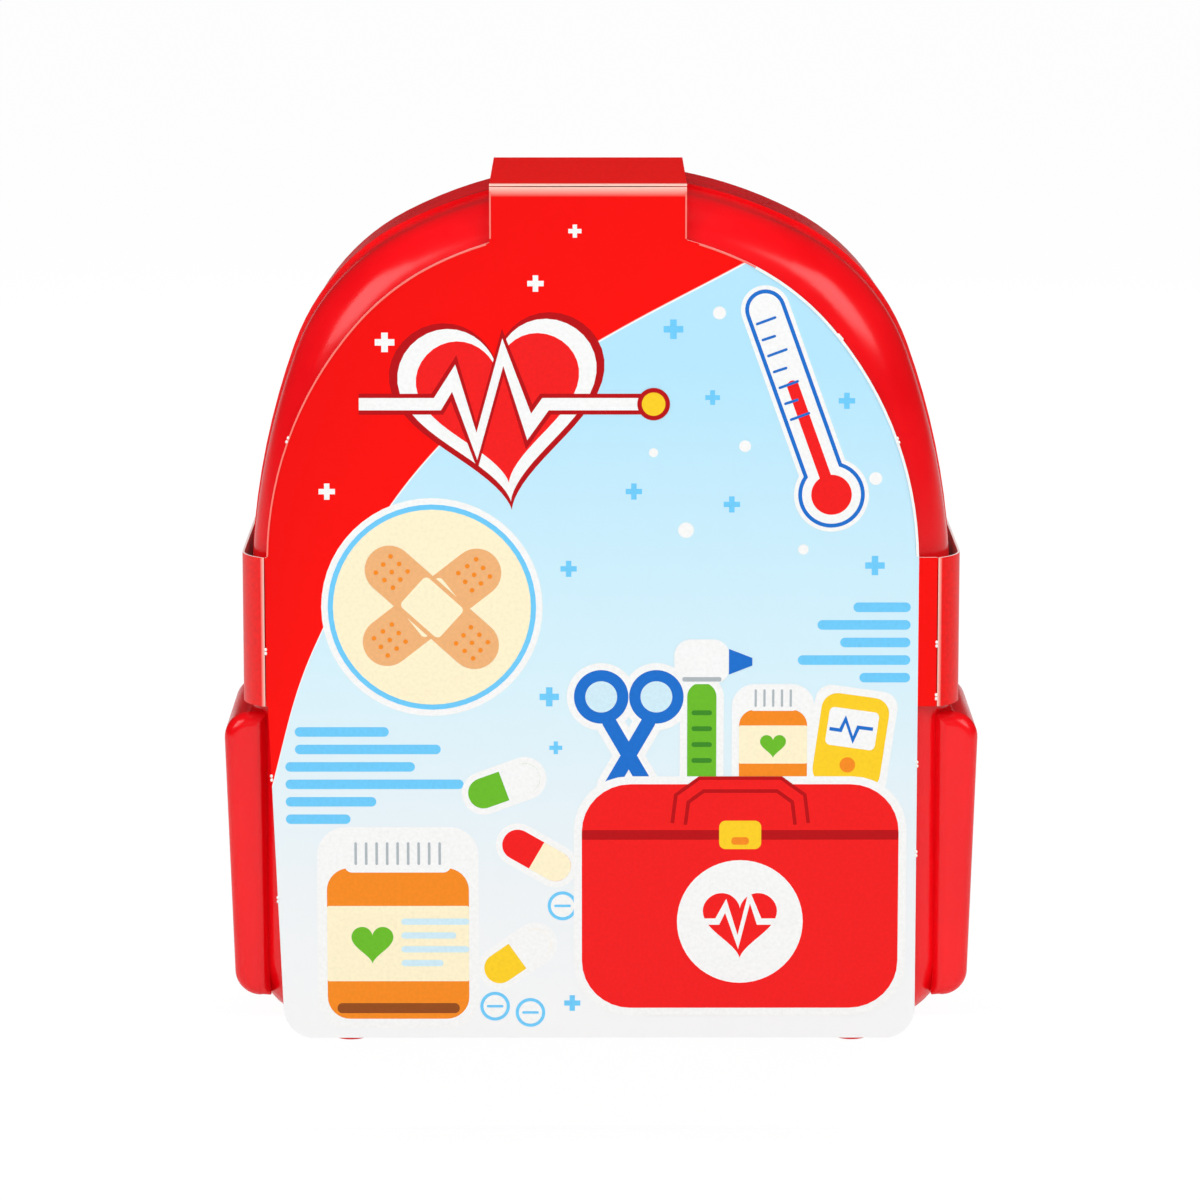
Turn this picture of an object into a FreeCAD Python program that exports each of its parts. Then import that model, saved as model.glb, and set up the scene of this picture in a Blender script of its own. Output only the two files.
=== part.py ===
"""Toy doctor case: a backpack-shaped plastic case in a printed card sleeve, with its tools inside.

Millimetres. X is to the right, Y goes from the front to the back, Z is up and the floor is z = 0.
"""
import FreeCAD, Part
import math
import os
import re
import Sketcher

Vector = FreeCAD.Vector

SIZES = {
    # Case halves
    "case_width": 217, "case_top": 268, "lid_depth": 38, "back_depth": 62, "wall": 2,
    "lid_edge_radius": 17, "back_edge_radius": 13, "corner_radius": 23,
    "case_crown_share": 0.622, "case_shoulder_share": 0.3115, "case_crown_angle": 27.3,
    "case_shoulder_angle": 70,
    "rim_proud": 1.2, "rim_width": 4,
    # Side pockets
    "pocket_low": 16, "pocket_high": 106, "pocket_proud_low": 5.4, "pocket_proud_high": 8.4,
    "pocket_lid_root": 5.5, "pocket_back_root": 8, "pocket_lid_depth": 35.5, "pocket_back_depth": 30,
    "pocket_corner": 8, "pocket_edge": 4,
    # Hinge
    "knuckle_count": 5, "knuckle_radius": 2.5, "knuckle_length": 24, "knuckle_gap": 0.4,
    "floor_clearance": 0.3, "pin_radius": 1.2, "running_clearance": 0.05, "pin_head_radius": 2,
    "pin_head_length": 1.5, "web_root": 1,
    # Feet
    "foot_radius": 5, "back_foot_side": 30.5, "back_foot_front": 14, "back_foot_rear": 40,
    "lid_foot_side": 30, "lid_foot_front": 21,
    # Handle recess and handle
    "recess_width": 50, "recess_depth": 22, "recess_front": 18, "handle_front": 27, "handle_width": 14,
    "handle_thick": 8, "handle_sink": 0.3, "handle_peg_radius": 2.5, "handle_gap": 0.2, "handle_edge": 2.5,
    # Latch
    "latch_width": 32, "latch_thick": 2.5, "latch_sink": 6.5, "latch_reach": 24, "latch_pivot": 8,
    "latch_clearance": 0.4, "latch_barrel": 2.4, "latch_pin_radius": 1, "latch_pin_grip": 3,
    "notch_floor": 2.2,
    # Tray, its posts and screws
    "tray_inset": 30, "tray_thick": 2.4, "tray_clearance": 0.5, "post_radius": 5, "post_low_side": 18.5,
    "post_low_z": 26, "post_high_side": 30.5, "post_high_drop": 80, "screw_radius": 1.4,
    "screw_head_radius": 3, "screw_head_thick": 1.8, "screw_length": 12, "ledge_reach": 14,
    "ledge_thick": 2.4,
    # Shoulder straps
    "strap_top_x": 34, "strap_drop": 46, "strap_low_side": 34.5, "strap_low_z": 44, "strap_width": 22,
    "strap_thick": 1.6, "strap_tab": 18, "strap_entry_radius": 30, "strap_rise_angle": 38, "strap_gap": 0.2,
    "stud_radius": 3, "stud_head_radius": 6.5, "stud_head_thick": 2, "stud_flange_radius": 4.5,
    # Card sleeve
    "card_thick": 0.6, "card_gap": 0.4, "crease_margin": 5.3, "panel_margin": 8.4,
    "card_drop": 10.9, "card_crown_share": 0.55, "card_shoulder_share": 0.393, "card_crown_angle": 24.7,
    "card_shoulder_angle": 48.9, "card_shift": 2.6, "card_taper": 4, "card_cut": 8, "card_corner": 10,
    "neck_left": 34, "neck_right": 26, "flap_low": 109, "flap_high": 155.5,
    "flap_clearance": 0.5, "crease_gap": 0.3, "flap_bow": 13, "side_flap_rear": 52, "top_flap_rear": 46,
    "foot_margin": 11.5, "bottom_flap_length": 28, "bottom_flap_gap": 1.2,
    # Rail and basket in the lid
    "rail_drop": 82, "rail_half": 55, "rail_radius": 3, "rail_stand": 18, "rail_arm": 5, "basket_left": 72,
    "basket_right": 4, "basket_low": 58, "basket_high": 104, "basket_depth": 28, "basket_wall": 1.6,
    "basket_gap": 0.2, "slot_width": 5, "slot_margin": 9, "slot_pitch": 10, "slot_count": 6,
    # Bottle and tongs in the basket
    "bottle_x": 20, "bottle_radius": 11, "bottle_high": 40, "bottle_neck_radius": 7, "bottle_neck": 9,
    "bottle_edge": 3, "neck_root": 1.5, "cap_radius": 9, "cap_high": 11, "cap_gap": 0.3,
    "tongs_x": 52, "tongs_clearance": 27, "tongs_thick": 2.4, "tongs_width": 9, "tongs_spread": 14,
    "stand_gap": 0.2,
    # Syringe
    "syringe_drop": 62, "syringe_left": 52, "barrel_radius": 9, "barrel_bore": 7.6, "barrel_long": 72,
    "nozzle_radius": 2.6, "nozzle_long": 11, "barrel_flange": 13, "flange_thick": 2.5, "piston_radius": 7.5,
    "piston_thick": 6, "plunger_rod": 3, "plunger_out": 34, "thumb_radius": 10, "thumb_thick": 2.5,
    "plunger_travel": 26, "tool_gap": 0.2,
    # Scissors
    "scissors_x": 50, "pivot_share": 0.45, "blade_share": 0.395, "blade_width": 10, "tip_share": 0.33,
    "shank_width": 8, "ring_radius": 14, "ring_hole": 9.5, "ring_clearance": 6.5,
    "arm_thick": 3, "arm_gap": 0.3, "arm_angle": 12, "rivet_radius": 2.5,
    "rivet_head_radius": 4.5, "rivet_head_thick": 1.2, "ring_offset": 11,
    "eye_share": 0.7,
    # Otoscope
    "otoscope_x": 62, "grip_low": 58, "grip_high": 128, "grip_radius": 8, "head_radius": 10, "head_high": 24,
    "cone_long": 20, "cone_tip": 2.2, "cone_base": 6, "grip_edge": 2,
    # Monitor
    "monitor_left": 46, "monitor_right": 24, "monitor_low": 28, "monitor_high": 78, "monitor_deep": 18,
    "monitor_corner": 8, "screen_margin": 8, "screen_sink": 1.6, "screen_right": 22, "button_radius": 6,
    "button_travel": 1.5, "button_proud": 2.5, "button_clearance": 0.3, "button_deep": 4,
    # Working values
    "overrun": 1, "pick_tolerance": 0.01,
}

# Places that several pieces share
HALF = "(case_width / 2)"
HINGE_Z = "(floor_clearance + knuckle_radius)"
SHELL_LOW = f"({HINGE_Z} + knuckle_radius + knuckle_gap)"
HINGE_REACH = "(knuckle_count / 2 * (knuckle_length + knuckle_gap))"
STRAP_TOP_Z = "(case_top - strap_drop)"
STRAP_LOW_X = f"({HALF} - strap_low_side)"
STRAP_RUN = f"sqrt(({STRAP_LOW_X} - strap_top_x) ^ 2 + ({STRAP_TOP_Z} - strap_low_z) ^ 2)"
STRAP_FLAT = f"({STRAP_RUN} / 2 - strap_tab / 2)"
STRAP_INNER = "(strap_entry_radius + strap_thick)"
STRAP_TURN = f"(({STRAP_FLAT} - {STRAP_INNER} * sin(strap_rise_angle)) / sin(strap_rise_angle))"
STRAP_BOW = f"(strap_gap + ({STRAP_INNER} + {STRAP_TURN}) * (1 - cos(strap_rise_angle)) + strap_thick)"
FRONT_REACH = "(lid_depth + card_gap + card_thick)"
PARTING = f"(({FRONT_REACH} - back_depth - {STRAP_BOW}) / 2)"
LID_FACE = f"({PARTING} - lid_depth)"
BACK_FACE = f"({PARTING} + back_depth)"
CARD_BACK = f"({LID_FACE} - card_gap)"
CARD_FACE = f"({CARD_BACK} - card_thick)"
TRAY_FACE = f"({PARTING} + tray_inset)"
CARD_CREASE = f"({HALF} - crease_margin)"
CARD_SIDE = f"({HALF} - panel_margin)"
FLAP_X = f"({HALF} + rim_proud + flap_clearance)"
CARD_LOW = f"({SHELL_LOW} - bottom_flap_gap - card_thick)"
BOTTOM_FLAP = f"({HALF} - lid_foot_side - foot_radius - foot_margin)"
TOP_FLAP_Z = "(case_top + rim_proud + flap_clearance)"

doc = FreeCAD.newDocument("toy_doctor_case")
sheet = doc.addObject("Spreadsheet::Sheet", "Sizes")
for row, (name, value) in enumerate(SIZES.items(), start=1):
    sheet.set(f"A{row}", str(value))
    sheet.setAlias(f"A{row}", name)
doc.recompute()

NODES = []


def cells(text):
    """The same expression with every size read from the sheet."""
    return re.sub(r"[a-z_]+", lambda word: f"Sizes.{word[0]}" if word[0] in SIZES else word[0], text)


def number(text):
    """The present value of an expression in the sheet's sizes."""
    return float(sheet.evalExpression(text))


def bind(thing, **expressions):
    """Tie properties of an object to the sheet; x, y and z stand for its place."""
    for prop, text in expressions.items():
        path = f"Placement.Base.{prop}" if prop in ("x", "y", "z") else prop
        thing.setExpression(path, cells(text))
    return thing


def node(thing, label):
    """Mark an object as a sub-part under its own name."""
    thing.Label = label
    NODES.append(thing)
    return thing


def box(low, high):
    """A block between two corners."""
    block = doc.addObject("Part::Box", "Block")
    sides = [f"({top}) - ({bottom})" for bottom, top in zip(low, high)]
    return bind(block, Length=sides[0], Width=sides[1], Height=sides[2], x=low[0], y=low[1], z=low[2])


AXIS_TURN = {
    "X": FreeCAD.Rotation(Vector(0, 1, 0), 90),
    "Y": FreeCAD.Rotation(Vector(1, 0, 0), -90),
    "Z": FreeCAD.Rotation(),
}


def rod(axis, start, radius, length):
    """A round bar that runs from start along an axis."""
    bar = doc.addObject("Part::Cylinder", "Rod")
    bar.Placement = FreeCAD.Placement(Vector(), AXIS_TURN[axis])
    return bind(bar, Radius=radius, Height=length, x=start[0], y=start[1], z=start[2])


def cone(axis, start, radius, far_radius, length):
    """A round taper that runs from start along an axis."""
    taper = doc.addObject("Part::Cone", "Taper")
    taper.Placement = FreeCAD.Placement(Vector(), AXIS_TURN[axis])
    return bind(taper, Radius1=radius, Radius2=far_radius, Height=length, x=start[0], y=start[1], z=start[2])


def fuse(*pieces):
    """Several shapes as one."""
    joined = doc.addObject("Part::MultiFuse", "Joined")
    joined.Shapes = list(pieces)
    joined.Refine = True
    return joined


def cut(base, *tools):
    """A shape with others taken out of it."""
    for tool in tools:
        left = doc.addObject("Part::Cut", "Cut")
        left.Base, left.Tool, left.Refine = base, tool, True
        base = left
    return base


def group(*pieces):
    """Separate solids kept in one node."""
    holder = doc.addObject("Part::Compound", "Group")
    holder.Links = list(pieces)
    return holder


def mirrored(piece):
    """The same shape on the other side of the middle plane."""
    twin = doc.addObject("Part::Mirroring", "Mirror")
    twin.Source, twin.Normal = piece, Vector(1, 0, 0)
    return twin


def rounded(piece, radius, pick):
    """A shape with the picked edges rounded."""
    doc.recompute()
    smooth = doc.addObject("Part::Fillet", "Rounded")
    smooth.Base = piece
    edges = [i for i, edge in enumerate(piece.Shape.Edges, start=1) if pick(edge)]
    smooth.Edges = [(i, number(radius), number(radius)) for i in edges]
    return smooth


def runs_along(axis):
    """Picks the straight edges along an axis."""
    def pick(edge):
        first, last = edge.Vertexes[0].Point, edge.Vertexes[-1].Point
        span = last - first
        across = [abs(getattr(span, name)) for name in "xyz" if name != axis]
        return span.Length > 0 and max(across) < number("pick_tolerance")
    return pick


def is_circle(edge):
    """Picks the full circles at the ends of a round bar."""
    return len(edge.Vertexes) == 1


def lies_at(y):
    """Picks the edges that lie in one upright plane."""
    place = number(y)
    return lambda edge: all(abs(v.Y - place) < number("pick_tolerance") for v in edge.Vertexes)


def sketch_on(body, role, offset="0"):
    """An empty sketch on one of a body's own planes, moved along the plane's normal."""
    sketch = body.newObject("Sketcher::SketchObject", "Profile")
    plane = next(part for part in body.Origin.OriginFeatures if part.Role == role)
    sketch.AttachmentSupport = [(plane, "")]
    sketch.MapMode = "FlatFace"
    sketch.setExpression("AttachmentOffset.Base.z", cells(offset))
    return sketch


def arc_between(first, last, radius, turn):
    """The short arc between two points; turn is 1 to the left and -1 to the right."""
    chord = last - first
    across = Vector(-chord.y, chord.x, 0).normalize()
    rise = math.sqrt(max(radius ** 2 - chord.Length ** 2 / 4, 0))
    centre = (first + last) / 2 + across * rise * turn
    middle = centre - across * radius * turn
    return Part.Arc(first, middle, last)


def loop(sketch, corners):
    """A closed outline. A corner is (x, y), or (x, y, radius, turn) where an arc leads to the next one."""
    points = [Vector(number(corner[0]), number(corner[1]), 0) for corner in corners]
    first = sketch.GeometryCount
    for i, corner in enumerate(corners):
        start, end = points[i], points[(i + 1) % len(points)]
        if len(corner) == 2:
            sketch.addGeometry(Part.LineSegment(start, end))
        else:
            sketch.addGeometry(arc_between(start, end, number(corner[2]), corner[3]))
    for i, corner in enumerate(corners):
        this, before = first + i, first + (i - 1) % len(corners)
        leaves = 1 if len(corner) == 2 or corner[3] > 0 else 2
        came_from = corners[i - 1]
        arrives = 2 if len(came_from) == 2 or came_from[3] > 0 else 1
        sketch.addConstraint(Sketcher.Constraint("Coincident", before, arrives, this, leaves))
        for kind, text, value in zip(("DistanceX", "DistanceY"), corner, points[i]):
            place = sketch.addConstraint(Sketcher.Constraint(kind, -1, 1, this, leaves, value))
            sketch.setExpression(f"Constraints[{place}]", cells(text))
        if len(corner) > 2:
            size = sketch.addConstraint(Sketcher.Constraint("Radius", this, number(corner[2])))
            sketch.setExpression(f"Constraints[{size}]", cells(corner[2]))


def pad(body, sketch, length, back=False):
    """A sketch made solid along its normal, or against it."""
    solid = body.newObject("PartDesign::Pad", "Pad")
    solid.Profile, solid.Reversed = sketch, back
    return bind(solid, Length=length)


def soften(body, feature, radius, pick):
    """A round on the picked edges of a body."""
    doc.recompute()
    smooth = body.newObject("PartDesign::Fillet", "Round")
    smooth.Base = (feature, [f"Edge{i}" for i, e in enumerate(feature.Shape.Edges, start=1) if pick(e)])
    return bind(smooth, Radius=radius)


def arch(piece, half, top, inset):
    """Radii and points of an arched outline's right half, from its side up to its crown."""
    crown, shoulder = f"({piece}_crown_share * 2 * {half})", f"({piece}_shoulder_share * 2 * {half})"
    steep, mild = f"{piece}_shoulder_angle", f"{piece}_crown_angle"
    spread = f"({crown} * sin({mild}) + {shoulder} * (sin({steep}) - sin({mild})))"
    side = f"(({half} - {spread}) / (1 - sin({steep})))"
    shoulder_x = f"(sin({mild}) * ({crown} - {shoulder}))"
    shoulder_z = f"({top} - {crown} + cos({mild}) * ({crown} - {shoulder}))"
    spring = f"({shoulder_z} + cos({steep}) * ({shoulder} - {side}))"
    return {
        "crown": f"({crown} - ({inset}))",
        "shoulder": f"({shoulder} - ({inset}))",
        "side": f"({side} - ({inset}))",
        "spring": spring,
        "side_x": f"({half} - {side})",
        "shoulder_end": (f"{shoulder_x} + ({shoulder} - ({inset})) * sin({steep})",
                         f"{shoulder_z} + ({shoulder} - ({inset})) * cos({steep})"),
        "crown_end": (f"({crown} - ({inset})) * sin({mild})",
                      f"{top} - {crown} + ({crown} - ({inset})) * cos({mild})"),
        "crown_z": f"({top} - {crown})",
    }


def case_outline(inset):
    """The arched outline of the case, drawn in by an inset all round."""
    curve = arch("case", HALF, "case_top", inset)
    side, turn = f"{HALF} - ({inset})", f"corner_radius - ({inset})"
    low, foot, run = f"{SHELL_LOW} + ({inset})", f"{SHELL_LOW} + corner_radius", f"{HALF} - corner_radius"
    (far_x, far_z), (near_x, near_z) = curve["shoulder_end"], curve["crown_end"]
    return [
        (f"-({run})", low), (run, low, turn, 1), (side, foot), (side, curve["spring"], curve["side"], 1),
        (far_x, far_z, curve["shoulder"], 1), (near_x, near_z, curve["crown"], 1),
        (f"-({near_x})", near_z, curve["shoulder"], 1), (f"-({far_x})", far_z, curve["side"], 1),
        (f"-({side})", curve["spring"]), (f"-({side})", foot, turn, 1),
    ]


def half_form(toward, depth, edge, inset):
    """One half of the case without its pockets, drawn in by an inset."""
    body = doc.addObject("PartDesign::Body", "Half")
    deep = f"({depth} - ({inset}))"
    face = f"({PARTING} + {toward} * {deep})"
    outline = sketch_on(body, "XZ_Plane", f"-{PARTING}")
    loop(outline, case_outline(inset))
    half = pad(body, outline, deep, toward > 0)
    soften(body, half, f"{edge} - ({inset})", lies_at(face))
    return body


def side_pocket(toward, depth, sunk, inset):
    """The moulded pocket on the right side of one half, drawn in by an inset."""
    body = doc.addObject("PartDesign::Body", "Pocket")
    low, high = f"pocket_low + ({inset})", f"pocket_high - ({inset})"
    root, turn = f"{HALF} - {sunk}", f"(pocket_corner - ({inset}))"
    lean = "atan((pocket_proud_high - pocket_proud_low) / (pocket_high - pocket_low))"
    low_x, low_cut = f"{HALF} + pocket_proud_low - ({inset})", f"{turn} / tan(45 deg + {lean} / 2)"
    high_x, high_cut = f"{HALF} + pocket_proud_high - ({inset})", f"{turn} / tan(45 deg - {lean} / 2)"
    face = f"({PARTING} + {toward} * ({depth} - ({inset})))"
    outline = sketch_on(body, "XZ_Plane", f"-{PARTING}")
    loop(outline, [
        (root, low), (f"{low_x} - {low_cut}", low, turn, 1),
        (f"{low_x} + {low_cut} * sin({lean})", f"{low} + {low_cut} * cos({lean})"),
        (f"{high_x} - {high_cut} * sin({lean})", f"{high} - {high_cut} * cos({lean})", turn, 1),
        (f"{high_x} - {high_cut}", high), (root, high),
    ])
    bulge = pad(body, outline, f"{depth} - ({inset})", toward > 0)
    soften(body, bulge, f"pocket_edge - ({inset})", lies_at(face))
    return body


def case_form(toward, depth, pocket, edge, inset):
    """One half of the case with its pockets: its outside, or the hollow in it. pocket is (depth, sunk)."""
    bulge = side_pocket(toward, *pocket, inset)
    return fuse(half_form(toward, depth, edge, inset), bulge, mirrored(bulge))


def knuckles(owner):
    """Hinge barrels of one half, with the webs that carry them; the back half has the odd ones."""
    toward, first = (1, 0) if owner == "back" else (-1, 1)
    pieces = []
    for i in range(first, SIZES["knuckle_count"], 2):
        left = f"{i} * (knuckle_length + knuckle_gap) - {HINGE_REACH} + knuckle_gap / 2"
        pieces.append(rod("X", (left, PARTING, HINGE_Z), "knuckle_radius", "knuckle_length"))
        faces = (f"{PARTING} + {toward} * knuckle_gap / 2", f"{PARTING} + {toward} * knuckle_radius")
        near, far = sorted(faces, key=number)
        pieces.append(box((left, near, HINGE_Z),
                          (f"{left} + knuckle_length", far, f"{SHELL_LOW} + web_root")))
    return pieces


def hinge_bore():
    """The hole for the hinge pin."""
    return rod("X", (f"-{HINGE_REACH} - overrun", PARTING, HINGE_Z), "pin_radius + running_clearance",
               f"2 * ({HINGE_REACH} + overrun)")


LATCH_LOW = "(case_top - latch_sink - latch_thick)"
LATCH_PIVOT_Y = f"({PARTING} - latch_pivot)"
LATCH_PIVOT_Z = f"({LATCH_LOW} + latch_thick / 2)"
NOTCH_HALF = "(latch_width / 2 + latch_clearance)"
NOTCH_LOW = f"({LATCH_PIVOT_Z} - latch_barrel - latch_clearance)"
NOTCH_FRONT = f"({LATCH_PIVOT_Y} - latch_barrel - latch_clearance)"
RECESS_LOW = "(case_top - recess_depth)"
RECESS_FRONT = f"({PARTING} + recess_front)"


def make_lid_shell():
    outer = case_form(-1, "lid_depth", ("pocket_lid_depth", "pocket_lid_root"), "lid_edge_radius", "0")
    inner = case_form(-1, "lid_depth", ("(pocket_lid_depth - wall)", "pocket_lid_root"),
                      "lid_edge_radius", "wall")
    reach = f"({NOTCH_HALF} + latch_pin_grip)"
    notch_block = box((f"-{reach}", f"{NOTCH_FRONT} - wall", f"{NOTCH_LOW} - notch_floor"),
                      (reach, PARTING, "case_top"))
    notch = box((f"-{NOTCH_HALF}", NOTCH_FRONT, NOTCH_LOW),
                (NOTCH_HALF, f"{PARTING} + overrun", "case_top + overrun"))
    pin_hole = rod("X", (f"-{reach}", LATCH_PIVOT_Y, LATCH_PIVOT_Z),
                   "latch_pin_radius + running_clearance", f"2 * {reach}")
    shell = cut(outer, cut(inner, notch_block), notch, pin_hole)
    node(cut(fuse(shell, *knuckles("lid")), hinge_bore()), "lid_shell")


def rim_band():
    """The raised band round the arch and sides of the back half's mouth."""
    body = doc.addObject("PartDesign::Body", "Rim")
    outline = sketch_on(body, "XZ_Plane", f"-{PARTING}")
    loop(outline, case_outline("-rim_proud"))
    pad(body, outline, "rim_width", True)
    reach = f"({HALF} + rim_proud + overrun)"
    hinge_side = box((f"-{reach}", f"{PARTING} - overrun", "0"),
                     (reach, f"{PARTING} + rim_width + overrun", f"{SHELL_LOW} + corner_radius"))
    return cut(body, hinge_side)


TRAY_BACK = f"({TRAY_FACE} + tray_thick)"
POSTS = [(f"{side} * ({HALF} - {margin})", z)
         for margin, z in (("post_low_side", "post_low_z"), ("post_high_side", "(case_top - post_high_drop)"))
         for side in (1, -1)]
STUDS = [(f"{side} * {x}", z)
         for x, z in (("strap_top_x", STRAP_TOP_Z), (STRAP_LOW_X, "strap_low_z")) for side in (1, -1)]


def make_back_shell():
    pocket = ("pocket_back_depth", "pocket_back_root")
    outer = fuse(case_form(1, "back_depth", pocket, "back_edge_radius", "0"), rim_band())
    inner = case_form(1, "back_depth", pocket, "back_edge_radius", "wall")
    side = "(recess_width / 2)"
    liner = box((f"-{side} - wall", f"{RECESS_FRONT} - wall", f"{RECESS_LOW} - wall"),
                (f"{side} + wall", BACK_FACE, "case_top"))
    channel_block = box((f"-{NOTCH_HALF} - wall", PARTING, f"{NOTCH_LOW} - notch_floor"),
                        (f"{NOTCH_HALF} + wall", RECESS_FRONT, "case_top"))
    posts = [rod("Y", (x, TRAY_BACK, z), "post_radius", "back_depth") for x, z in POSTS]
    recess = box((f"-{side}", RECESS_FRONT, RECESS_LOW),
                 (side, f"{BACK_FACE} + overrun", "case_top + recess_depth"))
    channel = box((f"-{NOTCH_HALF}", f"{PARTING} - overrun", NOTCH_LOW),
                  (NOTCH_HALF, f"{RECESS_FRONT} + overrun", "case_top + recess_depth"))
    pegs = rod("X", (f"-{side} - wall", HANDLE_MID, HANDLE_PEG_Z),
               "handle_peg_radius + running_clearance", f"2 * ({side} + wall)")
    screw_holes = [rod("Y", (x, f"{TRAY_BACK} - overrun", z), "screw_radius + running_clearance",
                       "screw_length - tray_thick + 2 * overrun") for x, z in POSTS]
    stud_holes = [rod("Y", (x, f"{BACK_FACE} - wall - overrun", z), "stud_radius + running_clearance",
                      "wall + 2 * overrun") for x, z in STUDS]
    hollow = cut(inner, liner, channel_block, *posts)
    shell = cut(outer, hollow, recess, channel, pegs, *screw_holes, *stud_holes)
    node(cut(fuse(shell, *knuckles("back")), hinge_bore()), "back_shell")


HANDLE_FRONT = f"({PARTING} + handle_front)"
HANDLE_MID = f"({HANDLE_FRONT} + handle_width / 2)"
HANDLE_END_DROP = ("(case_crown_share * case_width"
                   " - sqrt((case_crown_share * case_width) ^ 2 - (recess_width / 2) ^ 2))")
HANDLE_PEG_Z = f"(case_top - handle_sink - {HANDLE_END_DROP} - handle_thick / 2)"


def make_carry_handle():
    """A bar that follows the crown of the case, with a peg at each end."""
    body = doc.addObject("PartDesign::Body", "Bar")
    half = "(recess_width / 2 - handle_gap)"
    crown = "(case_crown_share * case_width)"
    outline = sketch_on(body, "XZ_Plane", f"-{HANDLE_FRONT}")
    top_radius, low_radius = f"({crown} - handle_sink)", f"({crown} - handle_sink - handle_thick)"
    centre = f"(case_top - {crown})"
    top_z, low_z = (f"{centre} + sqrt({radius} ^ 2 - {half} ^ 2)" for radius in (top_radius, low_radius))
    loop(outline, [(half, low_z), (half, top_z, top_radius, 1),
                   (f"-{half}", top_z), (f"-{half}", low_z, low_radius, -1)])
    bar = pad(body, outline, "handle_width", True)
    soften(body, bar, "handle_edge", lambda edge: edge.Length > number(half))
    reach = "(recess_width / 2 + wall - handle_gap)"
    pegs = [rod("X", (left, HANDLE_MID, HANDLE_PEG_Z), "handle_peg_radius", "2 * wall + handle_gap")
            for left in (f"{reach} - 2 * wall - handle_gap", f"-{reach}")]
    node(fuse(body, *pegs), "carry_handle")


def make_hinge_pin():
    pin = rod("X", (f"-{HINGE_REACH}", PARTING, HINGE_Z), "pin_radius", f"2 * {HINGE_REACH}")
    heads = [rod("X", (left, PARTING, HINGE_Z), "pin_head_radius", "pin_head_length")
             for left in (f"-{HINGE_REACH} - pin_head_length", HINGE_REACH)]
    node(fuse(pin, *heads), "hinge_pin")


def make_latch():
    """A half-round clasp on a barrel, and its pin."""
    body = doc.addObject("PartDesign::Body", "Clasp")
    half = "(latch_width / 2)"
    tip = f"{PARTING} + latch_reach"
    plan = sketch_on(body, "XY_Plane", LATCH_LOW)
    loop(plan, [(f"-{half}", LATCH_PIVOT_Y), (half, LATCH_PIVOT_Y), (half, f"{tip} - {half}", half, 1),
                ("0", tip, half, 1), (f"-{half}", f"{tip} - {half}")])
    pad(body, plan, "latch_thick")
    barrel = rod("X", (f"-{half}", LATCH_PIVOT_Y, LATCH_PIVOT_Z), "latch_barrel", "latch_width")
    bore = rod("X", (f"-{half} - overrun", LATCH_PIVOT_Y, LATCH_PIVOT_Z),
               "latch_pin_radius + running_clearance", "latch_width + 2 * overrun")
    node(cut(fuse(body, barrel), bore), "latch")
    reach = f"({NOTCH_HALF} + latch_pin_grip)"
    pin = rod("X", (f"-{reach}", LATCH_PIVOT_Y, LATCH_PIVOT_Z), "latch_pin_radius", f"2 * {reach}")
    node(pin, "latch_pin")


def make_feet():
    back = [rod("Z", (f"{side} * ({HALF} - back_foot_side)", f"{PARTING} + {y}", "0"),
                "foot_radius", SHELL_LOW) for side in (1, -1) for y in ("back_foot_front", "back_foot_rear")]
    node(group(*back), "back_feet")
    front = [rod("Z", (f"{side} * ({HALF} - lid_foot_side)", f"{PARTING} - lid_foot_front", "0"),
                 "foot_radius", SHELL_LOW) for side in (1, -1)]
    node(group(*front), "lid_feet")


def shelf(left, right, low):
    """A small shelf on the face of the tray, under a tool."""
    return box((left, f"{TRAY_FACE} - ledge_reach", f"{low} - ledge_thick"),
               (right, f"{TRAY_FACE} + tray_thick / 2", low))


def make_tray():
    body = doc.addObject("PartDesign::Body", "Panel")
    outline = sketch_on(body, "XZ_Plane", f"-{TRAY_FACE}")
    loop(outline, case_outline("wall + tray_clearance"))
    pad(body, outline, "tray_thick", True)
    side = "(recess_width / 2 + wall + tray_clearance)"
    step = box((f"-{side}", f"{TRAY_FACE} - overrun", f"{RECESS_LOW} - wall - tray_clearance"),
               (side, f"{TRAY_BACK} + overrun", "case_top"))
    holes = [rod("Y", (x, f"{TRAY_FACE} - overrun", z), "screw_radius + running_clearance",
                 "tray_thick + 2 * overrun") for x, z in POSTS]
    shelves = [
        shelf("-syringe_left", f"{BARREL_END} - flange_thick - tool_gap",
              f"{SYRINGE_Z} - barrel_radius - tool_gap"),
        shelf("otoscope_x - grip_radius", "otoscope_x + grip_radius", "grip_low - tool_gap"),
        shelf("-monitor_left", "monitor_right", "monitor_low - tool_gap"),
    ]
    node(cut(fuse(body, *shelves), step, *holes), "tray")
    screws = []
    for x, z in POSTS:
        start = (x, f"{TRAY_FACE} - screw_head_thick", z)
        head = rod("Y", start, "screw_head_radius", "screw_head_thick")
        shank = rod("Y", start, "screw_radius", "screw_head_thick + screw_length")
        screws.append(fuse(head, shank))
    node(group(*screws), "tray_screws")


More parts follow.
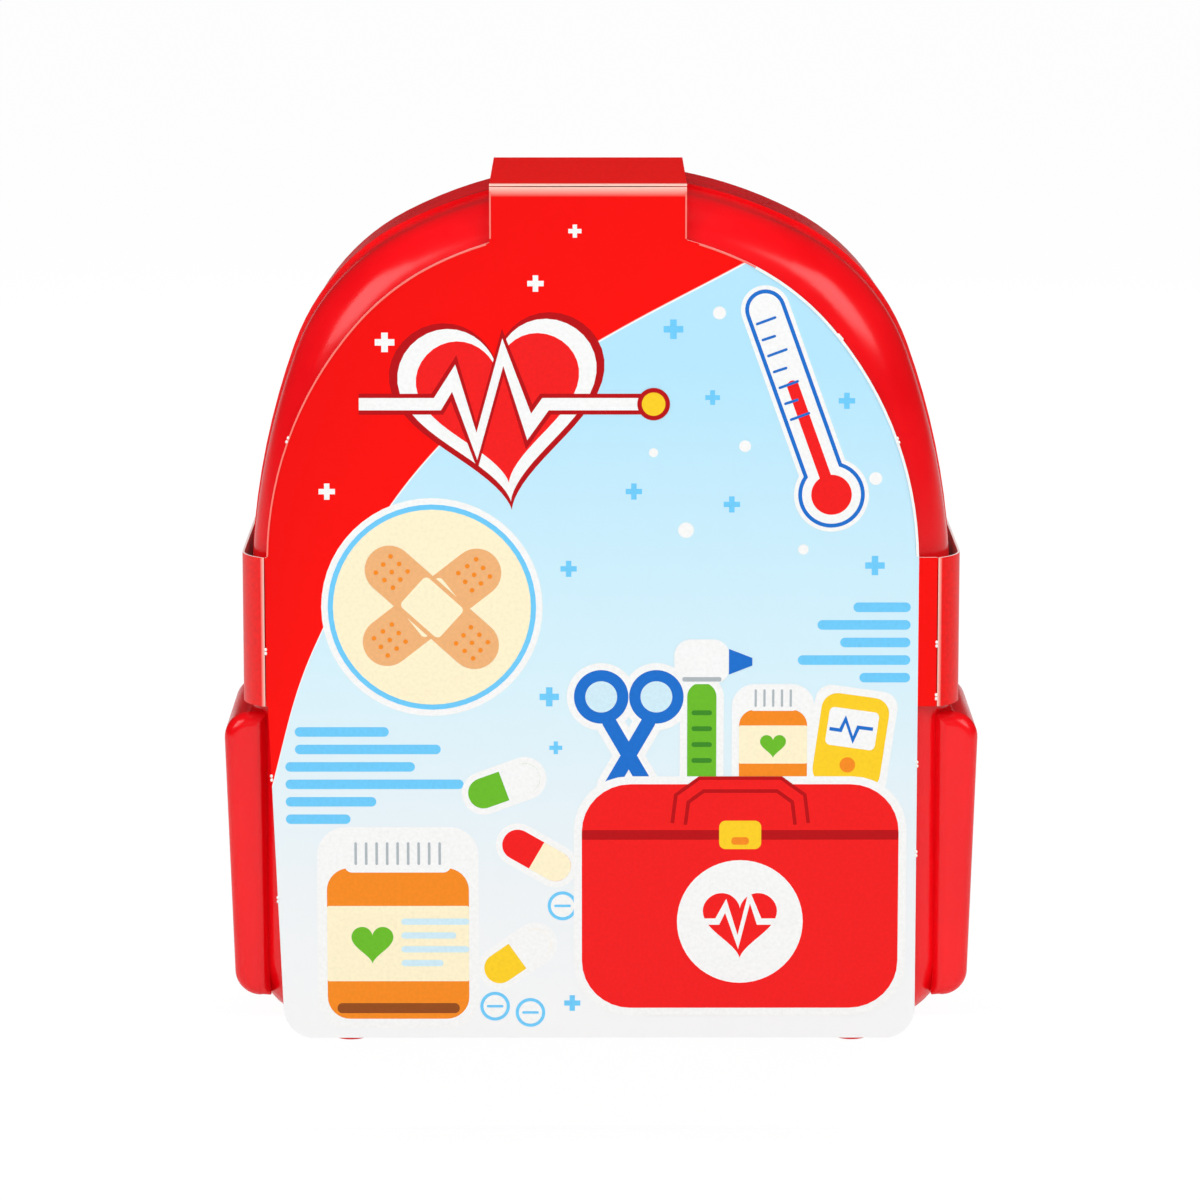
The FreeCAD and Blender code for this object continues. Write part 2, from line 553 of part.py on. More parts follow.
def strap_profile(sketch):
    """A flat band with tabs on the back wall and one long bow between them."""
    rise = "strap_rise_angle"
    inner, outer = STRAP_INNER, "strap_entry_radius"
    end = f"({STRAP_FLAT} + strap_tab)"
    in_u, in_s = f"strap_gap + {inner} * (1 - cos({rise}))", f"{STRAP_FLAT} - {inner} * sin({rise})"
    out_u = f"strap_gap + strap_thick + {outer} * (1 - cos({rise}))"
    out_s = f"{STRAP_FLAT} - {outer} * sin({rise})"
    face = "strap_gap + strap_thick"
    far = f"({STRAP_TURN} + strap_thick)"
    loop(sketch, [
        ("strap_gap", end), ("strap_gap", STRAP_FLAT, inner, 1), (in_u, in_s, STRAP_TURN, -1),
        (in_u, f"-({in_s})", inner, 1), ("strap_gap", f"-{STRAP_FLAT}"), ("strap_gap", f"-{end}"),
        (face, f"-{end}"), (face, f"-{STRAP_FLAT}", outer, -1), (out_u, f"-({out_s})", far, 1),
        (out_u, out_s, outer, -1), (face, STRAP_FLAT), (face, end),
    ])


def make_straps():
    lean = math.degrees(math.atan(number(f"({STRAP_LOW_X} - strap_top_x) / ({STRAP_TOP_Z} - strap_low_z)")))
    for name, side in (("strap_left", -1), ("strap_right", 1)):
        body = doc.addObject("PartDesign::Body", "Band")
        strap_profile(sketch_on(body, "YZ_Plane", "-strap_width / 2"))
        pad(body, body.Group[-1], "strap_width")
        body.Placement.Rotation = FreeCAD.Rotation(Vector(0, 1, 0), -side * lean)
        bind(body, x=f"{side} * (strap_top_x + {STRAP_LOW_X}) / 2", y=BACK_FACE,
             z=f"({STRAP_TOP_Z} + strap_low_z) / 2")
        mine = [(x, z) for x, z in STUDS if number(x) * side > 0]
        holes = [rod("Y", (x, f"{BACK_FACE} - overrun", z), "stud_radius + running_clearance",
                     "strap_gap + strap_thick + 2 * overrun") for x, z in mine]
        node(cut(body, *holes), name)
    studs = []
    for x, z in STUDS:
        inside, outside = f"{BACK_FACE} - wall - stud_head_thick", f"{BACK_FACE} + strap_gap + strap_thick"
        shank = rod("Y", (x, inside, z), "stud_radius", f"({outside}) - ({inside})")
        head = rod("Y", (x, outside, z), "stud_head_radius", "stud_head_thick")
        flange = rod("Y", (x, inside, z), "stud_flange_radius", "stud_head_thick")
        studs.append(fuse(shank, head, flange))
    node(group(*studs), "strap_studs")


def make_card_front():
    """The printed front panel, set to the left and tapered there, with a short flap under the lid."""
    curve = arch("card", CARD_SIDE, "(case_top - card_drop)", "0")
    (far_x, far_z), (near_x, near_z) = curve["shoulder_end"], curve["crown_end"]
    flap_x = f"({curve['side_x']} + sqrt({curve['side']} ^ 2 - (flap_high - {curve['spring']}) ^ 2))"
    left_z, right_z = (f"{curve['crown_z']} + sqrt({curve['crown']} ^ 2 - ({reach}) ^ 2)"
                       for reach in ("neck_left - card_shift", "neck_right + card_shift"))
    top, corner_z = f"{TOP_FLAP_Z} - crease_gap", f"{CARD_LOW} + card_cut"

    def across(side, x):
        return f"{side} * ({x}) - card_shift"

    right = [
        (across(1, f"{CARD_SIDE} - card_cut"), CARD_LOW, "card_corner", 1), (across(1, CARD_SIDE), corner_z),
        (across(1, CARD_SIDE), "flap_low"), (CARD_CREASE, "flap_low"), (CARD_CREASE, "flap_high"),
        (across(1, flap_x), "flap_high", curve["side"], 1), (across(1, far_x), far_z, curve["shoulder"], 1),
        (across(1, near_x), near_z, curve["crown"], 1), ("neck_right", right_z), ("neck_right", top),
    ]
    left = [
        ("-neck_left", top), ("-neck_left", left_z, curve["crown"], 1),
        (across(-1, near_x), near_z, curve["shoulder"], 1), (across(-1, far_x), far_z, curve["side"], 1),
        (across(-1, flap_x), "flap_high"), (f"-{CARD_CREASE}", "flap_high"),
        (f"-{CARD_CREASE}", "flap_low"), (across(-1, CARD_SIDE), "flap_low"),
        (across(-1, f"{CARD_SIDE} - card_taper"), corner_z, "card_corner", 1),
        (across(-1, f"{CARD_SIDE} - card_taper - card_cut"), CARD_LOW),
    ]
    body = doc.addObject("PartDesign::Body", "Panel")
    outline = sketch_on(body, "XZ_Plane", f"-{CARD_BACK}")
    loop(outline, right + left)
    pad(body, outline, "card_thick")
    under = box((f"-{BOTTOM_FLAP}", CARD_FACE, CARD_LOW),
                (BOTTOM_FLAP, f"{CARD_BACK} + bottom_flap_length", f"{CARD_LOW} + card_thick"))
    node(fuse(body, under), "card_front")


def make_card_flaps():
    node(box(("-neck_left", CARD_FACE, TOP_FLAP_Z),
             ("neck_right", f"{PARTING} + top_flap_rear", f"{TOP_FLAP_Z} + card_thick")), "card_top_flap")
    start = f"({CARD_CREASE} + crease_gap)"
    out = f"({FLAP_X} - {start})"
    turn = f"(({out} ^ 2 + flap_bow ^ 2) / (2 * {out}))"
    middle, bend, rear = f"({FLAP_X} - {turn})", f"({CARD_FACE} + flap_bow)", f"({PARTING} + side_flap_rear)"
    wide = f"({turn} + card_thick)"
    corners = [
        (start, CARD_FACE), (f"{middle} + sqrt({wide} ^ 2 - flap_bow ^ 2)", CARD_FACE, wide, 1),
        (f"{FLAP_X} + card_thick", bend), (f"{FLAP_X} + card_thick", rear),
        (FLAP_X, rear), (FLAP_X, bend, turn, -1),
    ]
    body = doc.addObject("PartDesign::Body", "Flap")
    plan = sketch_on(body, "XY_Plane", "flap_low")
    loop(plan, corners)
    pad(body, plan, "flap_high - flap_low")
    node(body, "card_right_flap")
    node(mirrored(body), "card_left_flap")


LID_INSIDE = f"({LID_FACE} + wall)"
RAIL_Y = f"({LID_INSIDE} + rail_stand)"
RAIL_Z = "(case_top - rail_drop)"


def make_rail():
    bar = rod("X", ("-rail_half", RAIL_Y, RAIL_Z), "rail_radius", "2 * rail_half")
    arms = [box((left, LID_INSIDE, f"{RAIL_Z} - rail_radius"),
                (f"{left} + rail_arm", RAIL_Y, f"{RAIL_Z} + rail_radius"))
            for left in ("-rail_half", "rail_half - rail_arm")]
    node(fuse(bar, *arms), "rail")


BASKET_BACK = f"({LID_INSIDE} + basket_gap)"
BASKET_FLOOR = "(basket_low + basket_wall)"
BASKET_MID = f"({BASKET_BACK} + basket_depth / 2)"


def make_basket():
    face = f"({BASKET_BACK} + basket_depth)"
    outside = box(("-basket_left", BASKET_BACK, "basket_low"), ("-basket_right", face, "basket_high"))
    inside = box(("-basket_left + basket_wall", f"{BASKET_BACK} + basket_wall", BASKET_FLOOR),
                 ("-basket_right - basket_wall", f"{face} - basket_wall", "basket_high + overrun"))
    slots = []
    for i in range(SIZES["slot_count"]):
        left = f"-basket_left + slot_margin + {i} * slot_pitch"
        slots.append(box((left, f"{face} - 2 * basket_wall", "basket_low + slot_margin"),
                         (f"{left} + slot_width", f"{face} + overrun", "basket_high - slot_margin")))
    node(cut(rounded(outside, "2 * basket_wall", runs_along("z")), inside, *slots), "basket")


def make_bottle():
    place = ("-bottle_x", BASKET_MID)
    stand = f"{BASKET_FLOOR} + stand_gap"
    outside = rounded(rod("Z", (*place, stand), "bottle_radius", "bottle_high"), "bottle_edge", is_circle)
    neck = rod("Z", (*place, f"{stand} + bottle_high - neck_root"), "bottle_neck_radius",
               "bottle_neck + neck_root")
    node(fuse(outside, neck), "bottle")
    low = f"{stand} + bottle_high + cap_gap"
    cover = rod("Z", (*place, low), "cap_radius", "cap_high")
    socket = rod("Z", (*place, f"{low} - overrun"), "bottle_neck_radius + cap_gap", "bottle_neck + overrun")
    node(cut(cover, socket), "bottle_cap")


def make_tongs():
    """Two springy arms joined at the top, standing in the basket."""
    stand, top = f"{BASKET_FLOOR} + stand_gap", f"({RAIL_Z} - rail_radius - tongs_clearance)"
    body = doc.addObject("PartDesign::Body", "Arms")
    outline = sketch_on(body, "XZ_Plane", f"-({BASKET_MID} - tongs_width / 2)")
    half, thick = "tongs_spread / 2", "tongs_thick"
    loop(outline, [
        (f"-tongs_x - {half}", stand), (f"-tongs_x - {half} + {thick}", stand),
        ("-tongs_x", f"{top} - 2 * {thick}"),
        (f"-tongs_x + {half} - {thick}", stand), (f"-tongs_x + {half}", stand),
        (f"-tongs_x + {thick}", top), (f"-tongs_x - {thick}", top),
    ])
    pad(body, outline, "tongs_width", True)
    node(body, "tongs")


SYRINGE_Y = f"({TRAY_FACE} - tool_gap - barrel_flange)"
SYRINGE_Z = "(case_top - syringe_drop)"
BARREL_END = "(barrel_long - syringe_left)"


def make_syringe():
    axis = (SYRINGE_Y, SYRINGE_Z)
    tube = rod("X", ("-syringe_left", *axis), "barrel_radius", "barrel_long")
    nozzle = rod("X", ("-syringe_left - nozzle_long", *axis), "nozzle_radius", "nozzle_long")
    flange = rod("X", (f"{BARREL_END} - flange_thick", *axis), "barrel_flange", "flange_thick")
    bore = rod("X", ("-syringe_left + flange_thick", *axis), "barrel_bore", "barrel_long")
    node(cut(fuse(tube, nozzle, flange), bore), "syringe_barrel")
    end = f"{BARREL_END} + plunger_out"
    head = "-syringe_left + flange_thick + plunger_travel + piston_thick / 2"
    piston = rod("X", (head, *axis), "piston_radius", "piston_thick")
    stem = rod("X", (head, *axis), "plunger_rod", f"({end}) - ({head})")
    thumb = rod("X", (end, *axis), "thumb_radius", "thumb_thick")
    node(fuse(piston, stem, thumb), "syringe_plunger")


ARM_A_Y = f"({TRAY_FACE} - tool_gap - rivet_head_thick - arm_gap - arm_thick)"
ARM_B_Y = f"({ARM_A_Y} - arm_gap - arm_thick)"
SHELF_LOW = f"({SYRINGE_Z} - barrel_radius - tool_gap - ledge_thick)"
SCISSORS_ROOM = f"({SHELF_LOW} - monitor_high)"
SCISSORS_Z = f"({SHELF_LOW} - pivot_share * {SCISSORS_ROOM})"


def scissor_arm(layer, side):
    """A blade above the pivot and a finger ring below it, turned about the pivot."""
    long = f"blade_share * {SCISSORS_ROOM}"
    short = f"((1 - pivot_share) * {SCISSORS_ROOM} - ring_radius - ring_hole - ring_clearance)"
    blade = box(("-blade_width / 2", "0", "0"), ("blade_width / 2", "arm_thick", long))
    along_y, middle = runs_along("y"), number(f"{long} / 2")
    tip = rounded(blade, "blade_width * tip_share",
                  lambda edge: along_y(edge) and edge.Vertexes[0].Z > middle)
    shank = box(("-shank_width / 2", "0", f"-{short}"), ("shank_width / 2", "arm_thick", "0"))
    eye = rod("Y", ("0", "0", "0"), "blade_width * eye_share", "arm_thick")
    ring_x, ring_z = f"{side} * ring_offset", f"-{short} - ring_hole"
    ring = rod("Y", (ring_x, "0", ring_z), "ring_radius", "arm_thick")
    finger = rod("Y", (ring_x, "-overrun", ring_z), "ring_hole", "arm_thick + 2 * overrun")
    pivot = rod("Y", ("0", "-overrun", "0"), "rivet_radius + running_clearance", "arm_thick + 2 * overrun")
    arm = cut(fuse(tip, shank, eye, ring), finger, pivot)
    arm.Placement.Rotation = FreeCAD.Rotation(Vector(0, 1, 0), -side * number("arm_angle"))
    return bind(arm, x="-scissors_x", y=layer, z=SCISSORS_Z)


def make_scissors():
    node(scissor_arm(ARM_A_Y, 1), "scissors_fixed_arm")
    node(scissor_arm(ARM_B_Y, -1), "scissors_moving_arm")
    place = ("-scissors_x", SCISSORS_Z)
    front, rear = f"{ARM_B_Y} - arm_gap - rivet_head_thick", f"{ARM_A_Y} + arm_thick + arm_gap"
    shank = rod("Y", (place[0], front, place[1]), "rivet_radius", f"({rear}) - ({front}) + rivet_head_thick")
    heads = [rod("Y", (place[0], y, place[1]), "rivet_head_radius", "rivet_head_thick")
             for y in (front, rear)]
    node(fuse(shank, *heads), "scissors_rivet")


OTOSCOPE_Y = f"({TRAY_FACE} - tool_gap - head_radius)"
CONE_Z = "(grip_high + head_high / 2)"


def make_otoscope():
    grip = rod("Z", ("otoscope_x", OTOSCOPE_Y, "grip_low"), "grip_radius", "grip_high - grip_low")
    node(rounded(grip, "grip_edge", is_circle), "otoscope_handle")
    top = rod("Z", ("otoscope_x", OTOSCOPE_Y, "grip_high"), "head_radius", "head_high")
    head = rounded(top, "grip_edge", is_circle)
    seat = rod("X", ("otoscope_x - head_radius - cone_base", OTOSCOPE_Y, CONE_Z), "cone_base", "head_radius")
    node(cut(head, seat), "otoscope_head")
    start = "otoscope_x - cone_base - cone_long"
    node(cone("X", (start, OTOSCOPE_Y, CONE_Z), "cone_tip", "cone_base", "cone_long"), "otoscope_cone")


MONITOR_FRONT = f"({TRAY_FACE} - tool_gap - monitor_deep)"
BUTTON_X = "(monitor_right - screen_right / 2)"
BUTTON_Z = "((monitor_low + monitor_high) / 2)"


def make_monitor():
    block = box(("-monitor_left", MONITOR_FRONT, "monitor_low"),
                ("monitor_right", f"{TRAY_FACE} - tool_gap", "monitor_high"))
    case = rounded(block, "monitor_corner", runs_along("y"))
    left, low = "-monitor_left + screen_margin", "monitor_low + screen_margin"
    right, high = "monitor_right - screen_right", "monitor_high - screen_margin"
    depth = f"{MONITOR_FRONT} + screen_sink"
    seat = box((left, f"{MONITOR_FRONT} - overrun", low), (right, depth, high))
    well = rod("Y", (BUTTON_X, f"{MONITOR_FRONT} - overrun", BUTTON_Z), "button_radius + button_clearance",
               "overrun + button_deep + button_travel + button_clearance")
    node(cut(case, seat, well), "monitor_body")
    node(box((left, MONITOR_FRONT, low), (right, depth, high)), "monitor_screen")
    button = rod("Y", (BUTTON_X, f"{MONITOR_FRONT} - button_proud", BUTTON_Z), "button_radius",
                 "button_proud + button_deep")
    node(button, "monitor_button")


make_lid_shell()
make_back_shell()
make_carry_handle()
make_hinge_pin()
make_latch()
make_feet()
make_tray()
make_straps()
make_card_front()
make_card_flaps()
make_rail()
make_basket()
make_bottle()
make_tongs()
make_syringe()
make_scissors()
make_otoscope()
make_monitor()
doc.recompute()

failed = [thing.Name for thing in doc.Objects if {"Invalid", "Error"} & set(thing.State)]
failed += [thing.Label for thing in NODES if thing.Shape.isNull() or not thing.Shape.isValid()]
if failed:
    raise RuntimeError(f"not built: {failed}")
os.makedirs("parts", exist_ok=True)
for thing in NODES:
    thing.Shape.exportStep(f"parts/{thing.Label}.step")
    print(f"{thing.Label}: {len(thing.Shape.Solids)} solids, {thing.Shape.Volume:.0f} mm3")
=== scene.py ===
# %% [markdown]
# # A toy doctor case in its printed card sleeve
#
# The real object is a red backpack-shaped plastic case. It stands closed inside a sleeve of printed
# card, with toy tools on a tray and in a basket inside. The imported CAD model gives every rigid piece
# its place and its movement. This script gives the pieces their finishes, and adds what is too fine
# for the solids: print, thread, marks, ribs.

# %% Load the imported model
import bpy, bmesh, math
from mathutils import Matrix, Vector, geometry


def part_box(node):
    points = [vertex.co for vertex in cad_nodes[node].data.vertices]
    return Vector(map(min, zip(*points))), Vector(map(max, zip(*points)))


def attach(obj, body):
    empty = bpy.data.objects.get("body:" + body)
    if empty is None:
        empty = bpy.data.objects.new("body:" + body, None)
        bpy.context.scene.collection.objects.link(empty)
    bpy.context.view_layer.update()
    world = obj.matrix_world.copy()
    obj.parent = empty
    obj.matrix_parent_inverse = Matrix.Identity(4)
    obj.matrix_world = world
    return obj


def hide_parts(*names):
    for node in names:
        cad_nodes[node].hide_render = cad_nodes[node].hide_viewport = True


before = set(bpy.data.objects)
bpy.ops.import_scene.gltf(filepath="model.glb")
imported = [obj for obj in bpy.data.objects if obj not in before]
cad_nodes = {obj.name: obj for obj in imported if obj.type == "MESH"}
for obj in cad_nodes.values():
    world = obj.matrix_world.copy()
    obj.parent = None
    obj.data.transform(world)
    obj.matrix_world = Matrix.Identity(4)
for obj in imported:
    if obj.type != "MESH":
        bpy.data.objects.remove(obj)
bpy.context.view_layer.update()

parting_y = sum(corner.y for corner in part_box("hinge_pin")) / 2

# %% [markdown]
# ## Camera
#
# The photo is taken from the front and a little above, with a long lens, so the case keeps nearly
# parallel sides. A camera placed by distance and two angles, and pointed at the middle of the case,
# is easy to correct later.

# %% Place the camera
LOOK_AT = Vector((-0.0003, parting_y - 0.0022, 0.1358))
CAMERA_DISTANCE, CAMERA_SIDE, CAMERA_RISE = 1.75, math.radians(-0.11), math.radians(10.0)
LENS = 167.3


def link(name, data):
    """A new object in the scene."""
    thing = bpy.data.objects.new(name, data)
    bpy.context.scene.collection.objects.link(thing)
    return thing


camera = link("camera", bpy.data.cameras.new("camera"))
away = Vector((math.sin(CAMERA_SIDE) * math.cos(CAMERA_RISE),
               -math.cos(CAMERA_SIDE) * math.cos(CAMERA_RISE), math.sin(CAMERA_RISE)))
camera.location = LOOK_AT + CAMERA_DISTANCE * away
camera.rotation_euler = (-away).to_track_quat("-Z", "Y").to_euler()
camera.data.lens = LENS
bpy.context.scene.camera = camera
print("camera at", tuple(round(value, 3) for value in camera.location))

# %% [markdown]
# ## Stage
#
# The lid opens downwards in front of the case, so the case stands on a low plinth whose front edge
# lies under the hinge. The open lid then comes to rest on the lower floor instead of sinking into it.
# Both levels are one pale sheet.

# %% Build the plinth and the floor
PLINTH_EDGE, PLINTH_RISE, FLOOR_REACH = parting_y + 0.005, 0.0372, 40.0

profile = [(-FLOOR_REACH, -PLINTH_RISE), (PLINTH_EDGE, -PLINTH_RISE), (PLINTH_EDGE, 0),
           (FLOOR_REACH, 0)]
floor_mesh = bpy.data.meshes.new("floor")
floor_mesh.from_pydata([(side * FLOOR_REACH, y, z) for y, z in profile for side in (-1, 1)], [],
                       [(2 * i, 2 * i + 1, 2 * i + 3, 2 * i + 2) for i in range(len(profile) - 1)])
floor = link("floor", floor_mesh)
print("floor levels:", 0, -PLINTH_RISE)

# %% [markdown]
# ## Node helpers
#
# Every finish below is a tree of nodes. Wired by hand, each node takes several lines. These helpers
# make a node, set its inputs to values or join them to other nodes, and hand on the result, so a
# finish reads as a list of what its surface does.

# %% Make a node and feed it


def fill(node, values):
    """Set a node's inputs, each to a value or to the socket that feeds it."""
    for key, value in values.items():
        if isinstance(value, bpy.types.NodeSocket):
            node.id_data.links.new(value, node.inputs[key])
        else:
            node.inputs[key].default_value = value


def put(tree, kind, values=None, **settings):
    """A new node with some of its settings and inputs."""
    node = tree.nodes.new(kind)
    for key, value in settings.items():
        setattr(node, key, value)
    fill(node, values or {})
    return node


def number(tree, operation, *values):
    """A small sum over numbers or sockets."""
    return put(tree, "ShaderNodeMath", dict(enumerate(values)), operation=operation).outputs[0]


def remap(tree, value, to_low, to_high, low=0.0, high=1.0):
    """A number carried from one range to another."""
    return put(tree, "ShaderNodeMapRange", {"Value": value, "From Min": low, "From Max": high,
                                            "To Min": to_low, "To Max": to_high}).outputs[0]


def blank_finish(name):
    """A new material, its tree and its surface node."""
    finish = bpy.data.materials.new(name)
    finish.use_nodes = True
    return finish, finish.node_tree, finish.node_tree.nodes["Principled BSDF"]


print("node helpers ready")

# %% [markdown]
# ## White floor and soft light
#
# The photo's background is plain white. A lit floor alone would come out grey, so where the camera or
# clear plastic looks straight at it, most of the floor glows white and the small rest takes a soft
# shadow. Gloss sees a dim room instead, so that only the lamps shape the lights on the plastic.

# %% Paint the floor
PAPER_TONE, PAPER_ROUGHNESS = (0.86, 0.86, 0.86, 1), 0.9
GLOW_STRENGTH, GLOW_SHARE = 1.04, 0.92

pale, pale_tree, paper = blank_finish("stage_white")
fill(paper, {"Base Color": PAPER_TONE, "Roughness": PAPER_ROUGHNESS})
rays = put(pale_tree, "ShaderNodeLightPath").outputs
looking = {0: rays["Is Camera Ray"], 1: rays["Is Transmission Ray"]}
seen_directly = put(pale_tree, "ShaderNodeMath", looking, operation="ADD", use_clamp=True).outputs[0]
glow = put(pale_tree, "ShaderNodeEmission", {"Strength": GLOW_STRENGTH})
share = number(pale_tree, "MULTIPLY", seen_directly, GLOW_SHARE)
blend = put(pale_tree, "ShaderNodeMixShader", {0: share, 1: paper.outputs[0], 2: glow.outputs[0]})
fill(pale_tree.nodes["Material Output"], {"Surface": blend.outputs[0]})
floor_mesh.materials.append(pale)
print("floor painted, glowing share", GLOW_SHARE)

# %% Light the room
ROOM_LIGHT, DIM_ROOM, PLAIN_WHITE = 0.44, 0.03, 1.0

world = bpy.data.worlds.new("surroundings")
bpy.context.scene.world = world
world.use_nodes = True
rays = put(world.node_tree, "ShaderNodeLightPath").outputs
strength = ROOM_LIGHT
for kind, level in (("Glossy", DIM_ROOM), ("Transmission", PLAIN_WHITE), ("Camera", PLAIN_WHITE)):
    strength = remap(world.node_tree, rays[f"Is {kind} Ray"], strength, level)
fill(world.node_tree.nodes["Background"], {"Color": (1, 1, 1, 1), "Strength": strength})
bpy.context.scene.view_settings.view_transform = "Standard"
print("room light", ROOM_LIGHT)

# %% Hang the lamps
CASE_MIDDLE = Vector((0, 0, 0.13))
# Each lamp's name, place, width and power, and whether gloss mirrors it. A fill lamp is not mirrored.
LAMPS = [("lamp_front", (-0.2, -2.1, 0.9), 1.2, 6.5, False),
         ("lamp_left", (-1.15, -1.0, 1.1), 0.9, 8.5, True),
         ("lamp_right", (1.15, -1.0, 1.1), 0.9, 8.5, True),
         ("lamp_top", (0, -0.1, 1.9), 1.0, 8.5, False),
         ("lamp_back", (0.3, 1.7, 0.8), 1.0, 4.0, False)]

for name, place, width, power, mirrored in LAMPS:
    lamp = bpy.data.lights.new(name, "AREA")
    lamp.size, lamp.energy = width, power
    holder = link(name, lamp)
    holder.visible_glossy = mirrored
    holder.location = place
    holder.rotation_euler = (Vector(place) - CASE_MIDDLE).to_track_quat("Z", "Y").to_euler()

# %% [markdown]
# ## Moulded plastic
#
# Moulded plastic is never one flat colour: the tool that pressed it leaves a very fine grain, and the
# gloss drifts a little over the surface. A picture of plastic could be wrapped round the pieces, but
# noise on Object coordinates, in metres, needs no unwrapping and keeps its real size on every piece.

# %% Colours, noise and bumps


def srgb(red, green, blue):
    """A screen colour of 0 to 255 as the shader's linear colour."""
    def linear(value):
        value /= 255
        return value / 12.92 if value <= 0.04045 else ((value + 0.055) / 1.055) ** 2.4
    return (linear(red), linear(green), linear(blue), 1)


def darker(colour, share):
    return tuple(share * channel for channel in colour[:3]) + (1,)


def ramp(tree, factor, stops):
    """A colour ramp over (position, colour) stops."""
    node = put(tree, "ShaderNodeValToRGB", {0: factor})
    elements = node.color_ramp.elements
    while len(elements) < len(stops):
        elements.new(0.5)
    for element, (position, colour) in zip(elements, stops):
        element.position, element.color = position, colour
    return node.outputs["Color"]


def object_place(tree):
    """The place on a piece, in metres."""
    return put(tree, "ShaderNodeTexCoord").outputs["Object"]


def noise(tree, place, scale, detail):
    return put(tree, "ShaderNodeTexNoise",
               {"Vector": place, "Scale": scale, "Detail": detail}).outputs["Fac"]


def bump(tree, height, strength, depth):
    return put(tree, "ShaderNodeBump",
               {"Height": height, "Strength": strength, "Distance": depth}).outputs["Normal"]


print("screen grey 128 is", round(srgb(128, 128, 128)[0], 3), "in the shader")

# %% Moulded plastics
DRIFT_SCALE, GRAIN_SCALE, GRAIN_DEPTH = 28.0, 2400.0, 0.0002


def moulded_plastic(name, colour, low=0.16, high=0.26, depth=0.90, grain=0.05, shine=0.16):
    """Glossy plastic with a fine mould grain, and a slow drift of colour and of roughness."""
    finish, tree, bsdf = blank_finish(name)
    place = object_place(tree)
    drift = noise(tree, place, DRIFT_SCALE, 4.0)
    fill(bsdf, {"Base Color": ramp(tree, drift, [(0.32, darker(colour, depth)), (0.62, colour)]),
                "Roughness": remap(tree, drift, low, high, 0.3, 0.7),
                "Normal": bump(tree, noise(tree, place, GRAIN_SCALE, 2.0), grain, GRAIN_DEPTH),
                "Specular IOR Level": shine})
    return finish


red_shell = moulded_plastic("red_shell_plastic", srgb(250, 4, 17), shine=0.45)
white_plastic = moulded_plastic("white_plastic", srgb(238, 239, 238), depth=0.94)
blue_plastic = moulded_plastic("blue_plastic", srgb(38, 128, 218))
green_plastic = moulded_plastic("green_plastic", srgb(126, 196, 52))
orange_plastic = moulded_plastic("orange_plastic", srgb(246, 142, 40))
yellow_plastic = moulded_plastic("yellow_plastic", srgb(250, 205, 52))
screen_plastic = moulded_plastic("screen_plastic", srgb(222, 240, 247), 0.06, 0.10, 0.97, 0.01)
clear_blue = moulded_plastic("clear_blue_plastic", srgb(176, 224, 246), 0.05, 0.10, 0.97, 0.01)
fill(clear_blue.node_tree.nodes["Principled BSDF"], {"Transmission Weight": 0.72, "IOR": 1.46})
print("plastics:", [finish.name for finish in bpy.data.materials if "plastic" in finish.name])

# %% [markdown]
# ## Drawn steel
#
# The hinge pins and the tray's screws are cut from drawn wire, which keeps fine lines along its
# length. Noise that is stretched along one axis gives such lines, and they change the tone and the
# gloss.

# %% Drawn steel for the pins and screws
LINE_STRETCH = (30.0, 2600.0, 2600.0)
STEEL_TONES = [(0.3, srgb(168, 170, 174)), (0.7, srgb(206, 208, 211))]


def drawn_steel(name):
    """Bright wire steel with fine lines along its length."""
    finish, tree, bsdf = blank_finish(name)
    stretch = put(tree, "ShaderNodeMapping", {"Vector": object_place(tree), "Scale": LINE_STRETCH})
    lines = noise(tree, stretch.outputs[0], 1.0, 3.0)
    fill(bsdf, {"Base Color": ramp(tree, lines, STEEL_TONES),
                "Roughness": remap(tree, lines, 0.22, 0.40), "Metallic": 1.0})
    return finish


steel = drawn_steel("drawn_steel")
print("finish:", steel.name)

# %% Dress the rigid CAD pieces


def dress(finish, *names):
    """Give CAD pieces a finish."""
    for name in names:
        slots = cad_nodes[name].data.materials
        slots.clear()
        slots.append(finish)


dress(red_shell, "lid_shell", "back_shell", "carry_handle", "back_feet", "lid_feet", "monitor_button")
dress(white_plastic, "latch", "tray", "strap_studs", "rail", "basket", "bottle_cap", "scissors_rivet",
      "otoscope_head")
dress(steel, "hinge_pin", "latch_pin", "tray_screws")
dress(blue_plastic, "scissors_fixed_arm", "scissors_moving_arm", "syringe_plunger", "otoscope_cone")
dress(green_plastic, "tongs", "otoscope_handle")
dress(orange_plastic, "bottle")
dress(yellow_plastic, "monitor_body")
dress(screen_plastic, "monitor_screen")
dress(clear_blue, "syringe_barrel")
print("rigid pieces dressed:", sum(1 for piece in cad_nodes.values() if piece.data.materials))

# %% [markdown]
# ## Printed card
#
# The sleeve is board about half a millimetre thick: printed and varnished outside, grey inside, with
# a white core that shows at every cut edge. One shader tells these apart by which way a face points.
# The print's two large fields, red above and pale blue below, meet along one long bow with a white
# line, so a curve gives the bow's height at each place.

